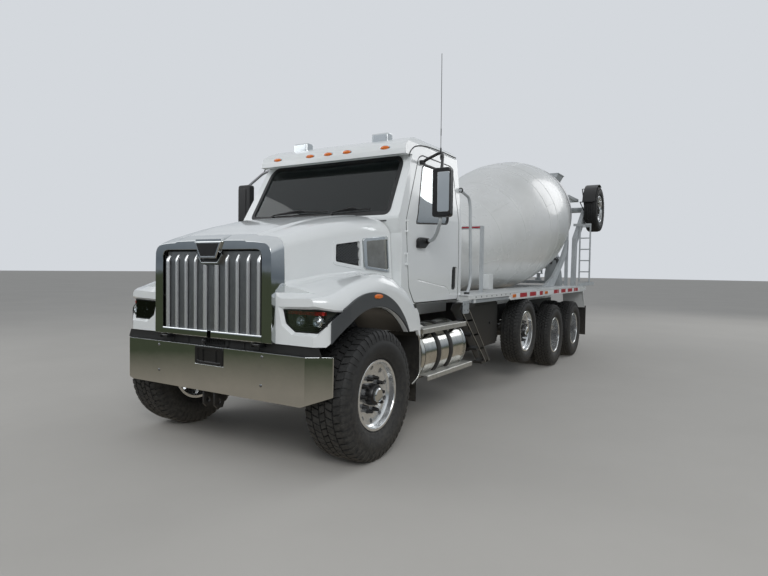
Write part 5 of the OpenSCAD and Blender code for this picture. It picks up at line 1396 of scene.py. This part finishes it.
def set_stage():
    """Camera, world, three soft lamps and the floor."""
    scene = bpy.context.scene
    scene.view_settings.view_transform = "Standard"
    yaw, pitch, roll = PHOTO_TURN
    ahead = Vector((-math.sin(yaw) * math.cos(pitch), math.cos(yaw) * math.cos(pitch), math.sin(pitch)))
    right = Vector((math.cos(yaw), math.sin(yaw), 0))
    up = right.cross(ahead)
    right2 = right * math.cos(roll) + up * math.sin(roll)
    up2 = up * math.cos(roll) - right * math.sin(roll)
    data = bpy.data.cameras.new("photo_camera")
    data.sensor_fit, data.sensor_width = "HORIZONTAL", 36.0
    data.lens = PHOTO_FOCAL * data.sensor_width / 768
    data.clip_end = 500
    camera = bpy.data.objects.new("photo_camera", data)
    scene.collection.objects.link(camera)
    turn = Matrix((right2, up2, -ahead)).transposed().to_4x4()
    camera.matrix_world = Matrix.Translation(PHOTO_FROM) @ turn
    scene.camera = camera

    world = bpy.data.worlds.new("studio")
    scene.world = world
    world.use_nodes = True
    tree = world.node_tree
    tree.nodes.clear()
    # what the camera and the mirror-bright surfaces see: pale wall, darker band at the horizon
    high = add(tree, "SeparateXYZ", {}, {0: add(tree, "TexCoord").outputs["Generated"]})
    ramp = add(tree, "ValToRGB", {}, {0: add(tree, "MapRange", {"From Min": -0.2, "From Max": 0.8},
                                             {"Value": high.outputs[2]}).outputs[0]})
    stops = ramp.color_ramp.elements
    stops[0].position, stops[0].color = 0.0, paint("B9BDC0")
    stops[1].position, stops[1].color = 1.0, paint("EEF1F4")
    for at, code in ((0.17, "9AA0A6"), (0.21, "6C747C"), (0.30, "A9B0B7"), (0.55, "D9DEE3")):
        stop = stops.new(at)
        stop.color = paint(code)
    plain = add(tree, "Background", {"Color": paint("D4D8DD"), "Strength": 1.0})
    seen = add(tree, "Background", {"Strength": 0.9}, {"Color": ramp.outputs[0]})
    even = add(tree, "Background", {"Color": paint("E8EDF4"), "Strength": 0.5})
    path = add(tree, "LightPath")
    lit = add(tree, "MixShader", {}, {0: path.outputs["Is Glossy Ray"], 1: even.outputs[0],
              2: seen.outputs[0]})
    clear = add(tree, "Math", {"operation": "MAXIMUM"},
                {0: path.outputs["Is Camera Ray"], 1: path.outputs["Is Transmission Ray"]})
    mix = add(tree, "MixShader", {}, {0: clear.outputs[0], 1: lit.outputs[0], 2: plain.outputs[0]})
    add(tree, "OutputWorld", {}, {"Surface": mix.outputs[0]})

    for name, spot, size, watts in (("key_light", (9, -14, 9), 7.0, 820), ("fill_light", (-9, -9, 7), 8.0, 220),
                                    ("back_light", (6, 13, 9), 8.0, 330)):
        lamp = bpy.data.lights.new(name, "AREA")
        lamp.shape, lamp.size, lamp.energy = "DISK", size, watts
        holder = bpy.data.objects.new(name, lamp)
        scene.collection.objects.link(holder)
        holder.location = spot
        holder.rotation_euler = (Vector((0, -1, 1)) - Vector(spot)).to_track_quat("-Z", "Y").to_euler()

    mesh = bpy.data.meshes.new("studio_floor")
    mesh.from_pydata([(-150, -150, 0), (150, -150, 0), (150, 150, 0), (-150, 150, 0)], [], [(0, 1, 2, 3)])
    floor = bpy.data.objects.new("studio_floor", mesh)
    scene.collection.objects.link(floor)
    ground = finish("pale_concrete_floor", "B7B4AE", "C3C0BA", 2600, 0.5, (0.75, 0.9))
    # for glossy rays the floor gives off a painted reflection instead of its own shading: brown paving near the
    # truck and dark grass farther off, which the bright metal mirrors
    tree = ground.node_tree
    out = next(n for n in tree.nodes if n.type == "OUTPUT_MATERIAL")
    pale = out.inputs["Surface"].links[0].from_socket
    where = add(tree, "TexCoord").outputs["Object"]
    far = add(tree, "VectorMath", {"operation": "LENGTH"}, {0: where}).outputs["Value"]
    grass = add(tree, "MapRange", {"From Min": 7.6, "From Max": 10.5}, {"Value": far}).outputs[0]
    painted_reflection_tone = add(tree, "Mix", {"data_type": "RGBA", 6: paint("8F887C"), 7: paint("454B3B")},
                        {0: grass}).outputs[2]
    # emission of the painted reflection, seen only by glossy rays
    painted_reflection_glow = add(tree, "Emission", {"Strength": 1.0}, {"Color": painted_reflection_tone})
    mix = add(tree, "MixShader", {}, {0: add(tree, "LightPath").outputs["Is Glossy Ray"], 1: pale,
                                      2: painted_reflection_glow.outputs[0]})
    tree.links.new(mix.outputs[0], out.inputs["Surface"])
    mesh.materials.append(ground)


set_stage()
